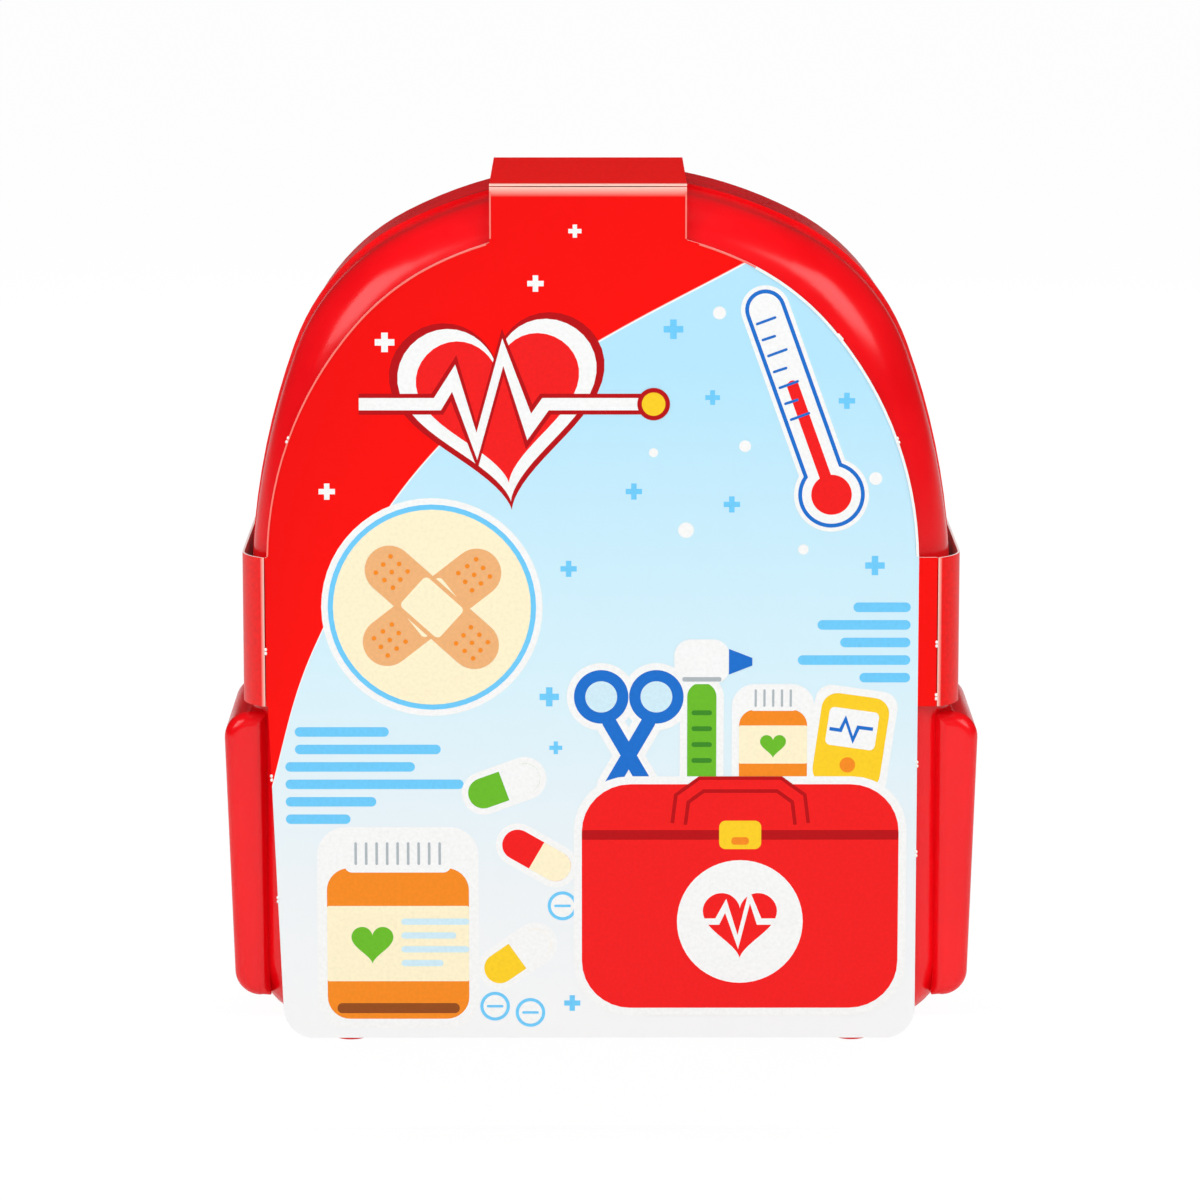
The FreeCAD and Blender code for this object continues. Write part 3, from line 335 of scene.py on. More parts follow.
# %% The print's two fields
card_low, card_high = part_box("card_front")
CARD_FRONT = card_low.y
FIELD_EDGE = [(-0.105, 0.070), (-0.1023, 0.081), (-0.0878, 0.128), (-0.0454, 0.194), (-0.0006, 0.222),
              (0.0448, 0.2465), (0.105, 0.280)]
FIELD_LINE, FIELD_SPAN = 0.0007, 0.1
PANEL_RIGHT = 0.0975
SKY_LOW, SKY_TOP = 0.01, 0.215
SKY_TONES = [(0, srgb(243, 244, 244)), (0.2, srgb(236, 241, 243)), (0.55, srgb(211, 238, 248)),
             (1, srgb(180, 228, 249))]
CARD_RED, CARD_DEEP, LINE_WHITE = srgb(250, 10, 4), srgb(238, 8, 6), srgb(250, 250, 250)


def mix(tree, share, first, second):
    """The first colour, with as much of the second as the share says."""
    return put(tree, "ShaderNodeMix", {0: share, 6: first, 7: second}, data_type="RGBA").outputs[2]


def field_bow(tree, across):
    """The height of the bow between the fields, as a share of its last one, at a place across."""
    (left, _), (right, top) = FIELD_EDGE[0], FIELD_EDGE[-1]
    edge = put(tree, "ShaderNodeFloatCurve", {"Value": remap(tree, across, 0.0, 1.0, left, right)})
    points = edge.mapping.curves[0].points
    while len(points) < len(FIELD_EDGE):
        points.new(0.5, 0.5)
    for point, (x, z) in zip(points, FIELD_EDGE):
        point.location = ((x - left) / (right - left), z / top)
    edge.mapping.update()
    return edge.outputs[0]


def printed_fields(tree):
    """The red field, the white line and the pale blue field, by the place on the sleeve's front."""
    place = put(tree, "ShaderNodeSeparateXYZ", {0: object_place(tree)}).outputs
    over = number(tree, "MULTIPLY_ADD", field_bow(tree, place["X"]), -FIELD_EDGE[-1][1], place["Z"])
    sky = ramp(tree, remap(tree, place["Z"], 0.0, 1.0, SKY_LOW, SKY_TOP), SKY_TONES)
    # The strip beside the right flap is red down its whole length, so it is pushed well past the line.
    strip = number(tree, "GREATER_THAN", place["X"], PANEL_RIGHT)
    span = number(tree, "MULTIPLY_ADD", strip, 0.3, remap(tree, over, 0.0, 1.0, 0.0, FIELD_SPAN))
    rim = FIELD_LINE / FIELD_SPAN
    red = ramp(tree, span, [(rim * 0.97, LINE_WHITE), (rim, CARD_RED), (0.9, CARD_DEEP)])
    above = number(tree, "MAXIMUM", number(tree, "GREATER_THAN", over, 0.0), strip)
    return mix(tree, above, sky, red)


print("card front plane at y =", round(CARD_FRONT, 5))

# %% The card's shader
FIBRE_SCALE, FIBRE_DEPTH, SIDE_LIMIT = 700.0, 0.0002, 0.35
BLACK, WHITE = (0, 0, 0, 1), (1, 1, 1, 1)
# The pale pink colour is for the folds: a little wear, and a painted highlight where a rounded fold
# would catch the light.
CUT_BOARD, FOLD_WEAR_AND_HIGHLIGHT = srgb(244, 240, 236), srgb(255, 205, 190)
GREY_BOARD = [(0.3, srgb(196, 194, 188)), (0.7, srgb(222, 220, 214))]


def printed_card(name, outward, crease, fields=False, shine=0.10):
    """Card whose outside looks along outward. crease is (axis, place, width) of a fold with wear and a
    painted highlight.
    """
    finish, tree, bsdf = blank_finish(name)
    spot = put(tree, "ShaderNodeTexCoord").outputs
    facing = put(tree, "ShaderNodeVectorMath", {0: spot["Normal"], 1: outward},
                 operation="DOT_PRODUCT").outputs["Value"]
    printed_side = number(tree, "GREATER_THAN", facing, SIDE_LIMIT)
    back_side = number(tree, "LESS_THAN", facing, -SIDE_LIMIT)
    fibre = noise(tree, spot["Object"], FIBRE_SCALE, 5.0)
    plain = [(0.35, CARD_DEEP), (0.6, CARD_RED)]
    ink = printed_fields(tree) if fields else ramp(tree, fibre, plain)
    # Near the fold, print and cut board are lightened towards pale pink: partly fold wear, partly a
    # painted highlight in place of a rounded fold.
    axis, where, width = crease
    place = put(tree, "ShaderNodeSeparateXYZ", {0: spot["Object"]}).outputs
    near = remap(tree, place[axis], 0.0, 1.0, where - width, where + width)
    fold_wear_and_highlight = ramp(tree, near, [(0.2, BLACK), (0.5, WHITE), (0.8, BLACK)])
    inside = mix(tree, back_side, mix(tree, fold_wear_and_highlight, CUT_BOARD, FOLD_WEAR_AND_HIGHLIGHT), ramp(tree, fibre, GREY_BOARD))
    fill(bsdf, {"Base Color": mix(tree, printed_side, inside, mix(tree, fold_wear_and_highlight, ink, FOLD_WEAR_AND_HIGHLIGHT)),
                "Roughness": remap(tree, printed_side, 0.75, 0.34),
                "Normal": bump(tree, fibre, 0.06, FIBRE_DEPTH), "Specular IOR Level": shine})
    return finish


crease_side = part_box("card_right_flap")[0].x
dress(printed_card("card_front_print", (0, -1, 0), ("Z", card_high.z, 0.005), True), "card_front")
dress(printed_card("card_top_print", (0, 0, 1), ("Y", CARD_FRONT, 0.005)), "card_top_flap")
# Each side flap is painted lighter along its fold line: a little wear and a painted highlight.
for name, side, shine in (("right", 1, 0.2), ("left", -1, 0.4)):
    crease = ("X", side * crease_side, 0.002)
    dress(printed_card(f"card_{name}_print", (side * 0.7, -0.7, 0), crease, shine=shine),
          f"card_{name}_flap")
print("side flaps fold at x =", round(crease_side, 5))

# %% [markdown]
# ## The picture on the card
#
# The sleeve carries a bright picture. This one is a plain design of its own: a heart with a pulse
# line, a thermometer, a bag of tools, a bottle and tablets. Printed ink lies flat, so every shape is
# a thin layer of its own just in front of the card, and a few outlines (circle, bar, heart, rounded
# box, ribbon, plus) are enough for all of them.

# %% Outlines for the picture, in millimetres across and up the card


def circle(x, z, radius, count=56):
    turns = [2 * math.pi * i / count for i in range(count)]
    return [(x + radius * math.cos(a), z + radius * math.sin(a)) for a in turns]


def turned(points, middle, degrees):
    c, s = math.cos(math.radians(degrees)), math.sin(math.radians(degrees))
    return [(middle[0] + c * (x - middle[0]) - s * (z - middle[1]),
             middle[1] + s * (x - middle[0]) + c * (z - middle[1])) for x, z in points]


def rounded_box(x, z, width, height, radius, lean=0.0):
    """A box with round corners about its middle, leaning by some degrees."""
    points = []
    for corner, (sx, sz) in enumerate(((1, 1), (-1, 1), (-1, -1), (1, -1))):
        for i in range(9):
            a = math.pi / 2 * (corner + i / 8)
            points.append((x + sx * (width / 2 - radius) + radius * math.cos(a),
                           z + sz * (height / 2 - radius) + radius * math.sin(a)))
    return turned(points, (x, z), lean)


def bar(start, end, width):
    """A strip with round ends between two places."""
    length = math.dist(start, end)
    lean = math.degrees(math.atan2(end[1] - start[1], end[0] - start[0]))
    middle = ((start[0] + end[0]) / 2, (start[1] + end[1]) / 2)
    return rounded_box(*middle, length + width, width, width / 2 - 0.001, lean)


def heart(x, z, width, lean=0.0, count=72):
    """The well-known heart curve, which is 32 units wide before it is scaled."""
    unit, points = width / 32, []
    for i in range(count):
        a = 2 * math.pi * i / count
        rise = 13 * math.cos(a) - 5 * math.cos(2 * a) - 2 * math.cos(3 * a) - math.cos(4 * a)
        points.append((x + unit * 16 * math.sin(a) ** 3, z + unit * rise))
    return turned(points, (x, z), lean)


def ribbon(points, width):
    """A line of even width through points, with mitred corners."""
    sides = ([], [])
    for i, here in enumerate(points):
        before, after = Vector(points[max(i - 1, 0)]), Vector(points[min(i + 1, len(points) - 1)])
        into = (Vector(here) - before).normalized() if i else (after - Vector(here)).normalized()
        out = (after - Vector(here)).normalized() if i < len(points) - 1 else into
        across = Vector((-(into + out).y, (into + out).x)).normalized()
        reach = width / 2 / max(across.dot(Vector((-into.y, into.x))), 0.45)
        for side, sign in zip(sides, (1, -1)):
            side.append(tuple(Vector(here) + sign * reach * across))
    return sides[0] + sides[1][::-1]


def plus(x, z, size):
    a, b = size / 2, size / 6
    corners = ((b, b), (b, a), (-b, a), (-b, b), (-a, b), (-a, -b),
               (-b, -b), (-b, -a), (b, -a), (b, -b), (a, -b), (a, b))
    return [(x + p, z + q) for p, q in corners]


print("outline of a heart has", len(heart(0, 0, 10)), "points")

# %% Inks
INK_LAYER, MOTTLE_SCALE = 0.00002, 900.0


def printed_ink(name, colour):
    """Varnished offset ink: nearly even, with a faint mottle of the board below."""
    finish, tree, bsdf = blank_finish("ink_" + name)
    mottle = noise(tree, object_place(tree), MOTTLE_SCALE, 4.0)
    fill(bsdf, {"Base Color": ramp(tree, mottle, [(0.3, darker(colour, 0.94)), (0.62, colour)]),
                "Roughness": remap(tree, mottle, 0.30, 0.42), "Specular IOR Level": 0.10})
    return finish


INKS = {name: printed_ink(name, srgb(*value)) for name, value in {
    "white": (246, 247, 246), "red": (244, 30, 30), "deep_red": (186, 14, 20), "blue": (30, 112, 205),
    "sky": (112, 204, 250), "pale": (208, 236, 247), "green": (108, 188, 44), "leaf": (62, 140, 40),
    "yellow": (252, 208, 40), "cream": (253, 242, 206), "orange": (246, 140, 36),
    "brown": (150, 78, 30), "tan": (240, 180, 122), "rose": (255, 128, 116), "grey": (176, 184, 190),
    "ink": (40, 44, 60)}.items()}
ink_names = list(INKS)
print("inks:", ink_names)

# %% The sheet of printed shapes
shapes = []


def paint(ink, outline, layer):
    """Lay one shape of the picture on its layer."""
    shapes.append((ink, [(x / 1000, z / 1000) for x, z in outline], layer))


def flat_sheet(name, plane):
    """All the painted shapes as one mesh just in front of a plane that faces the camera."""
    points, faces, inks = [], [], []
    for ink, outline, layer in shapes:
        y, start = plane - INK_LAYER * (layer + 1), len(points)
        points += [(x, y, z) for x, z in outline]
        corners = [Vector((x, z, 0)) for x, z in outline]
        for a, b, c in geometry.tessellate_polygon([corners]):
            turn = (corners[b] - corners[a]).cross(corners[c] - corners[a]).z
            order = (a, b, c) if turn > 0 else (a, c, b)
            faces.append(tuple(start + i for i in order))
            inks.append(ink_names.index(ink))
    mesh = bpy.data.meshes.new(name)
    mesh.from_pydata(points, [], faces)
    for finish in INKS.values():
        mesh.materials.append(finish)
    mesh.polygons.foreach_set("material_index", inks)
    shapes.clear()
    return link(name, mesh)


print("one layer of ink is", INK_LAYER * 1000, "mm")

# %% The upper half: heart and pulse line
for ink, width, layer in (("deep_red", 66, 0), ("white", 61, 1), ("red", 50, 2)):
    paint(ink, heart(-31, 205, width, 6), layer)
beat = [(-74, 203), (-50, 203), (-45, 211), (-38, 190), (-30, 219), (-22, 196), (-17, 203), (14, 203)]
paint("deep_red", ribbon(beat, 6.4), 3)
paint("white", ribbon(beat, 3.8), 4)
BEAT_END = (16, 203)
paint("deep_red", circle(*BEAT_END, 5.0), 5)
paint("yellow", circle(*BEAT_END, 3.6), 6)
print("shapes so far:", len(shapes))

# %% The upper half: thermometer
BULB, TUBE_TOP, TUBE_LOW = (70.5, 175), (50, 232), (68, 182)
for ink, wider, layer in (("white", 5.0, 0), ("blue", 2.4, 1), ("white", 0, 2)):
    paint(ink, bar(TUBE_TOP, TUBE_LOW, 10 + wider), layer)
    paint(ink, circle(*BULB, 9 + wider / 2), layer + 0.5)
paint("red", bar((58.5, 208.5), (69.5, 178), 3.6), 3)
paint("red", circle(*BULB, 6.2), 4)
for i in range(7):
    x, z = 51.5 + 1.75 * i, 229.0 - 4.9 * i
    end = (x - 0.4, z - 0.2) if i % 2 else (x + 1.4, z + 0.6)
    paint("blue", bar((x - 4.0, z - 1.4), end, 0.8), 5)
print("shapes so far:", len(shapes))

# %% The upper half: round badge with two plasters, small plus signs and dots
BADGE = (-52, 140)
for ink, radius, layer in (("white", 34, 0), ("sky", 32, 1), ("cream", 30.4, 2)):
    paint(ink, circle(*BADGE, radius), layer)
for lean, layer in ((38, 3), (-42, 6)):
    paint("tan", rounded_box(*BADGE, 50, 15, 7.4, lean), layer)
    paint("cream", rounded_box(*BADGE, 16, 12.4, 1.5, lean), layer + 1)
    for across in (-20, -16.5, -13, 13, 16.5, 20):
        for up in (-3.4, 0, 3.4):
            spot = turned([(BADGE[0] + across, BADGE[1] + up)], BADGE, lean)[0]
            paint("orange", circle(*spot, 0.75, 10), layer + 1)
for x, z, size in ((-66, 222, 6), (-20, 240, 5), (-84, 176, 5), (-8, 256, 4)):
    paint("white", plus(x, z, size), 0)
for x, z, size in ((22, 226, 6), (34, 205, 4.5), (75, 204, 5), (40, 172, 5), (84, 153, 6),
                   (10, 176, 5)):
    paint("sky", plus(x, z, size), 0)
for x, z, radius in ((36, 231, 2.0), (44, 190, 1.8), (16, 188, 1.4), (26, 164, 2.4), (84, 180, 2.0),
                     (62, 158, 1.6)):
    paint("white", circle(x, z, radius), 0)
print("shapes so far:", len(shapes))

# %% The lower half: bars at both sides, and the tools that look out of the bag
for z, reach in ((101, 30), (95.5, 46), (90, 38), (84.5, 53), (79, 26), (73.5, 18)):
    paint("sky", bar((-93 if z > 94 else -96, z), (-97 + reach, z), 3.0), 0)
for z, reach in ((140, 16), (134.5, 27), (129, 20), (123.5, 33), (118, 14)):
    paint("sky", bar((93.6, z), (95 - reach, z), 3.0), 0)
EYES, EYE_HEIGHT = (0, 17), 112
for ink, wider, layer in (("white", 4.4, 1), ("blue", 0, 2)):
    for x in EYES:
        paint(ink, circle(x, EYE_HEIGHT, 8.4 + wider / 2), layer + x / 100)
    paint(ink, bar((2.5, 104), (14, 84), 4.4 + wider), layer + 0.3)
    paint(ink, bar((14.5, 104), (3, 84), 4.4 + wider), layer + 0.4)
for x in EYES:
    paint("pale", circle(x, EYE_HEIGHT, 4.9), 4)
GRIP = 31
for ink, wider, layer in (("white", 4.6, 1), ("green", 0, 2)):
    paint(ink, bar((GRIP, 80), (GRIP, 112), 9 + wider), layer + 0.5)
paint("white", rounded_box(GRIP, 123, 17, 14, 5), 3)
paint("grey", rounded_box(GRIP, 117.5, 12, 1.4, 0.6), 4)
paint("blue", [(39.3, 127), (39.3, 119), (46.5, 121.8), (46.5, 124.2)], 4.4)
for z in (92, 97, 102, 107):
    paint("leaf", bar((28.6, z), (33.4, z), 1.5), 4)
SMALL_BOTTLE = 53
paint("white", rounded_box(SMALL_BOTTLE, 96, 25.5, 40, 7), 1.2)
paint("orange", rounded_box(SMALL_BOTTLE, 93, 21, 30, 5), 2.2)
paint("white", rounded_box(SMALL_BOTTLE, 111.6, 15.4, 8, 1.8), 3)
for x in (47.6 + 2.7 * i for i in range(5)):
    paint("grey", bar((x, 109.2), (x, 114), 0.7), 4)
paint("cream", rounded_box(SMALL_BOTTLE, 97, 21, 12, 0.5), 3)
paint("green", heart(SMALL_BOTTLE, 97, 8), 4)
for ink, wider, layer in (("white", 4.6, 1), ("yellow", 0, 2)):
    paint(ink, rounded_box(77, 98, 21 + wider, 29 + wider, 5, -8), layer + 0.6)
paint("white", rounded_box(77.4, 102, 15.4, 12, 1.6, -8), 3)
trace = [(70.4, 102), (73.8, 101.5), (75.4, 105), (77.6, 98.4), (79.3, 102.4), (83.8, 101.8)]
paint("blue", ribbon(trace, 1.1), 4)
paint("orange", circle(76.0, 90.6, 2.4), 4)
print("shapes so far:", len(shapes))

# %% The lower half: the bag and the large bottle
BAG = 43
bag_handle = [(24, 72), (25, 80), (31, 84.4), (55, 84.4), (61, 80), (62, 72)]
bag_pulse = [(27, 41), (36, 41), (38.6, 46), (42.4, 34.5), (46, 49), (49, 41), (59, 41)]
paint("white", rounded_box(BAG, 49, 103, 76, 17), 2.8)
paint("red", rounded_box(BAG, 49, 98, 71, 15), 5)
paint("deep_red", rounded_box(BAG, 68.5, 98, 3, 0.6), 6)
paint("deep_red", ribbon(bag_handle, 5.2), 6)
paint("red", ribbon(bag_handle, 3.0), 7)
paint("yellow", rounded_box(BAG, 68.5, 13, 9, 2), 7)
paint("orange", rounded_box(BAG, 66.6, 5.4, 2.4, 1), 8)
paint("white", circle(BAG, 41, 19.5), 6)
paint("red", heart(BAG, 41.5, 23), 7)
paint("white", ribbon(bag_pulse, 2.0), 8)
BOTTLE = -63
paint("white", rounded_box(BOTTLE, 39, 50, 64, 9), 1)
paint("orange", rounded_box(BOTTLE, 34, 44, 48, 7), 2)
paint("brown", rounded_box(BOTTLE, 13.4, 38, 3.2, 1.5), 3)
paint("white", rounded_box(BOTTLE, 62.6, 33, 12, 2.4), 3)
for x in (-76 + 3.25 * i for i in range(9)):
    paint("grey", bar((x, 59.4), (x, 65.8), 0.8), 4)
paint("cream", rounded_box(BOTTLE, 34, 44, 24, 0.6), 3)
paint("green", heart(-71, 34.5, 13), 4)
for z, reach in ((41, 19), (36.6, 15), (32.2, 19), (27.8, 11)):
    paint("pale", bar((-61, z), (-61 + reach, z), 2.0), 4)
print("shapes so far:", len(shapes))

# %% The lower half: tablets, and the whole sheet
CAPSULE_HALF = 4.8
for x, z, lean, one, two in ((-26, 30, 35, "yellow", "white"), (-20, 62, -30, "red", "cream"),
                             (-30, 84, 20, "green", "white")):
    paint("white", rounded_box(x, z, 27, 13.6, 6.7, lean), 0.5)
    paint(one, rounded_box(x, z, 23, 9.6, 4.7, lean), 1.5)
    round_end = [(x + 6.7 + CAPSULE_HALF * math.sin(a), z - CAPSULE_HALF * math.cos(a))
                 for a in (math.pi * i / 16 for i in range(17))]
    half = [(x, z - CAPSULE_HALF)] + round_end + [(x, z + CAPSULE_HALF)]
    paint(two, turned(half, (x, z), lean), 2.5)
for x, z in ((-33, 14), (-22, 12), (-12, 46)):
    paint("sky", circle(x, z, 4.6), 0.5)
    paint("white", circle(x, z, 3.6), 1.5)
    paint("sky", bar((x - 2.2, z), (x + 2.2, z), 0.8), 2.5)
for x, z, size in ((-16, 112, 6), (-10, 152, 5), (-9, 15, 5), (-14, 96, 4)):
    paint("sky", plus(x, z, size), 0)
picture = flat_sheet("card_picture", CARD_FRONT)
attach(picture, "lid")
print("picture faces:", len(picture.data.polygons))

# %% [markdown]
# ## Geometry Nodes for what repeats
#
# Stitches, ribs, marks and nicks repeat at an even step. They could be copied one by one, but a small
# node tree is the better tool: change a named input and the whole row changes. Three trees are enough
# here: units along a path, ribs round an axis and marks on a tube. Each result is turned into a plain
# mesh at the end, so that it can ride on a body.

# %% Open and close a tree


def new_tree(name, sizes):
    """An empty tree with a geometry in and out, some number inputs and a material."""
    tree = bpy.data.node_groups.new(name, "GeometryNodeTree")
    tree.interface.new_socket("Geometry", in_out="INPUT", socket_type="NodeSocketGeometry")
    for label in sizes:
        tree.interface.new_socket(label, in_out="INPUT", socket_type="NodeSocketFloat")
    tree.interface.new_socket("Finish", in_out="INPUT", socket_type="NodeSocketMaterial")
    tree.interface.new_socket("Geometry", in_out="OUTPUT", socket_type="NodeSocketGeometry")
    return tree, put(tree, "NodeGroupInput").outputs


def close_tree(tree, given, result):
    """End a tree in real geometry with its finish."""
    real = put(tree, "GeometryNodeRealizeInstances", {0: result}).outputs[0]
    finished = put(tree, "GeometryNodeSetMaterial", {"Geometry": real, "Material": given["Finish"]})
    put(tree, "NodeGroupOutput", {0: finished.outputs[0]})
    print("tree:", tree.name, len(tree.nodes), "nodes")


def scaled_units(tree, given, points, unit, labels, heading):
    """One unit of three given sizes at each point, turned to its heading."""
    sizes = {axis: given[label] for label, axis in zip(labels, "XYZ")}
    size = put(tree, "ShaderNodeCombineXYZ", sizes)
    shape = put(tree, "GeometryNodeTransform", {"Geometry": unit, "Scale": size.outputs[0]})
    turn = put(tree, "FunctionNodeAlignRotationToVector", {"Vector": heading}, axis="X")
    return put(tree, "GeometryNodeInstanceOnPoints", {"Points": points, "Instance": shape.outputs[0],
                                                      "Rotation": turn.outputs[0]}).outputs[0]


print("tree helpers ready")

# %% The tree for units along a path
along, given = new_tree("units_along_a_path", ("Step", "Long", "Wide", "High"))
curve = put(along, "GeometryNodeMeshToCurve", {"Mesh": given["Geometry"]}).outputs[0]
steps = put(along, "GeometryNodeResampleCurve", mode="LENGTH")
fill(steps, {"Curve": curve, "Length": given["Step"]})
ball = put(along, "GeometryNodeMeshUVSphere", {"Segments": 10, "Rings": 6, "Radius": 0.5})
tangent = put(along, "GeometryNodeInputTangent").outputs[0]
close_tree(along, given, scaled_units(along, given, steps.outputs[0], ball.outputs["Mesh"],
                                      ("Long", "Wide", "High"), tangent))

# %% The tree for ribs round an upright axis
around, given = new_tree("ribs_round_an_axis", ("Count", "Radius", "Deep", "Wide", "High"))
ring = put(around, "GeometryNodeMeshCircle", {"Vertices": given["Count"], "Radius": given["Radius"]})
rib = put(around, "GeometryNodeMeshCylinder",
          {"Vertices": 10, "Side Segments": 1, "Radius": 0.5, "Depth": 1.0})
outwards = put(around, "GeometryNodeInputPosition").outputs[0]
close_tree(around, given, scaled_units(around, given, ring.outputs[0], rib.outputs["Mesh"],
                                       ("Deep", "Wide", "High"), outwards))

# %% The tree for marks that bend round a tube
marks, given = new_tree("marks_on_a_tube", ("Radius", "Thick", "From", "Sweep"))
arc = put(marks, "GeometryNodeCurveArc", {
    "Resolution": 24, "Radius": given["Radius"], "Start Angle": given["From"],
    "Sweep Angle": given["Sweep"]}, mode="RADIUS")
thread = put(marks, "GeometryNodeCurvePrimitiveCircle", {"Resolution": 8, "Radius": given["Thick"]},
             mode="RADIUS")
tube = put(marks, "GeometryNodeCurveToMesh", {
    "Curve": arc.outputs["Curve"], "Profile Curve": thread.outputs["Curve"], "Fill Caps": True})
spread = put(marks, "GeometryNodeInstanceOnPoints",
             {"Points": given["Geometry"], "Instance": tube.outputs[0]})
close_tree(marks, given, spread.outputs[0])

# %% Run a tree and settle its result


def path_mesh(name, paths, closed=False):
    """Only edges, one run of them for each list of points in metres."""
    points, edges = [], []
    for path in paths:
        start, count = len(points), len(path)
        points += [tuple(point) for point in path]
        edges += [(start + i, start + (i + 1) % count) for i in range(count if closed else count - 1)]
    mesh = bpy.data.meshes.new(name)
    mesh.from_pydata(points, edges, [])
    return mesh


def grow(name, tree, start, finish, **sizes):
    """Run a tree on a starting mesh and keep the result as a plain piece."""
    seed = link(name + "_start", start)
    modifier = seed.modifiers.new("rows", "NODES")
    modifier.node_group = tree
    for item in tree.interface.items_tree:
        if item.in_out == "INPUT" and item.name in sizes:
            modifier[item.identifier] = sizes[item.name]
        elif item.in_out == "INPUT" and item.name == "Finish":
            modifier[item.identifier] = finish
    bpy.context.view_layer.update()
    ready = seed.evaluated_get(bpy.context.evaluated_depsgraph_get())
    mesh = bpy.data.meshes.new_from_object(ready)
    bpy.data.objects.remove(seed)
    mesh.name = name
    print(name, "faces:", len(mesh.polygons))
    return link(name, mesh)


def settle(piece, matrix, body):
    """Put a piece in its place for good and let it ride."""
    piece.data.transform(matrix)
    piece.data.update()
    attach(piece, body)


print("trees:", [tree.name for tree in bpy.data.node_groups])

# %% [markdown]
# ## Shoulder straps
#
# The case is worn on the back by two white straps of woven band, each held by a stud at both ends and
# bowed out between them. A band has rounded edges, a fine twill and a stitched box where it is
# doubled, so it is swept as a flat tube along the bow, with a UV map in metres for the weave.

# %% The woven band's finish
TWILL_SCALE, RIB_SCALE, FUZZ_SCALE, FUZZ_SHARE = 260.0, 190.0, 1400.0, 0.3
BAND_TONES = [(0.05, srgb(206, 207, 206)), (0.75, srgb(242, 242, 240))]


def woven_band(name):
    """White band: a diagonal twill over fine ribs, with a little fuzz."""
    finish, tree, bsdf = blank_finish(name)
    spot = put(tree, "ShaderNodeUVMap", uv_map="band").outputs[0]
    twill = put(tree, "ShaderNodeTexWave", {
        "Vector": spot, "Scale": TWILL_SCALE, "Distortion": 0.4, "Detail": 1.0},
        wave_type="BANDS", bands_direction="DIAGONAL")
    rib = put(tree, "ShaderNodeTexWave", {"Vector": spot, "Scale": RIB_SCALE, "Distortion": 0.2},
              wave_type="BANDS", bands_direction="X")
    both = number(tree, "MULTIPLY", twill.outputs["Fac"], rib.outputs["Fac"])
    fuzz = noise(tree, spot, FUZZ_SCALE, 3.0)
    height = number(tree, "MULTIPLY_ADD", fuzz, FUZZ_SHARE, both)
    fill(bsdf, {"Base Color": ramp(tree, height, BAND_TONES), "Roughness": 0.82,
                "Normal": bump(tree, height, 0.55, 0.0003), "Sheen Weight": 0.25})
    return finish


webbing = woven_band("woven_band")
thread_white = moulded_plastic("sewing_thread", srgb(226, 226, 222), 0.55, 0.70, 0.9, 0.2)
print("finishes:", webbing.name, thread_white.name)

# %% The bow of the bands
STRAP_LOW, STRAP_TOP = Vector((0.074, 0.044)), Vector((0.034, 0.222))
STRAP_WIDE, STRAP_THICK, STRAP_TAB = 0.022, 0.0016, 0.018
ENTRY_RADIUS, RISE = 0.0308, math.radians(38)
BACK_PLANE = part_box("back_shell")[1].y
LIE = 0.0002 + STRAP_THICK / 2

strap_half = (STRAP_TOP - STRAP_LOW).length / 2
tab_near, tab_far = strap_half - STRAP_TAB / 2, strap_half + STRAP_TAB / 2
bow_radius = (tab_near - ENTRY_RADIUS * math.sin(RISE)) / math.sin(RISE)
bow_low = LIE + ENTRY_RADIUS * (1 - math.cos(RISE))


def bow(place):
    """Height of the band's middle over the back, and its slope, at a distance from its middle."""
    far = abs(place)
    side = 1 if place >= 0 else -1
    if far >= tab_near:
        return LIE, 0.0
    if far >= bow_radius * math.sin(RISE):
        a = math.asin((tab_near - far) / ENTRY_RADIUS)
        return LIE + ENTRY_RADIUS * (1 - math.cos(a)), -side * math.tan(a)
    a = math.asin(far / bow_radius)
    return bow_low + bow_radius * (math.cos(a) - math.cos(RISE)), -side * math.tan(a)


def on_strap(side, place, across, lift):
    """A point of the left (-1) or right (1) band, by its length, its width and its thickness."""
    way = (STRAP_TOP - STRAP_LOW).normalized()
    middle = (STRAP_TOP + STRAP_LOW) / 2
    height, slope = bow(place)
    steep = math.atan(slope)
    flat = middle + (place - lift * math.sin(steep)) * way + across * Vector((way.y, -way.x))
    return Vector((side * flat.x, BACK_PLANE + height + lift * math.cos(steep), flat.y))


print("bow radius of the bands:", round(bow_radius, 4))

# %% Sweep a band along its bow
BAND_STEPS, RIM_COUNT, END_ROUND = 150, 24, 0.004
EDGE_POWER, FACE_POWER = 0.25, 0.6


def rim_point(i):
    """One corner of the band's cross-section, a flat box with rounded edges, from -1 to 1."""
    c, s = math.cos(2 * math.pi * i / RIM_COUNT), math.sin(2 * math.pi * i / RIM_COUNT)
    return math.copysign(abs(c) ** EDGE_POWER, c), math.copysign(abs(s) ** FACE_POWER, s)


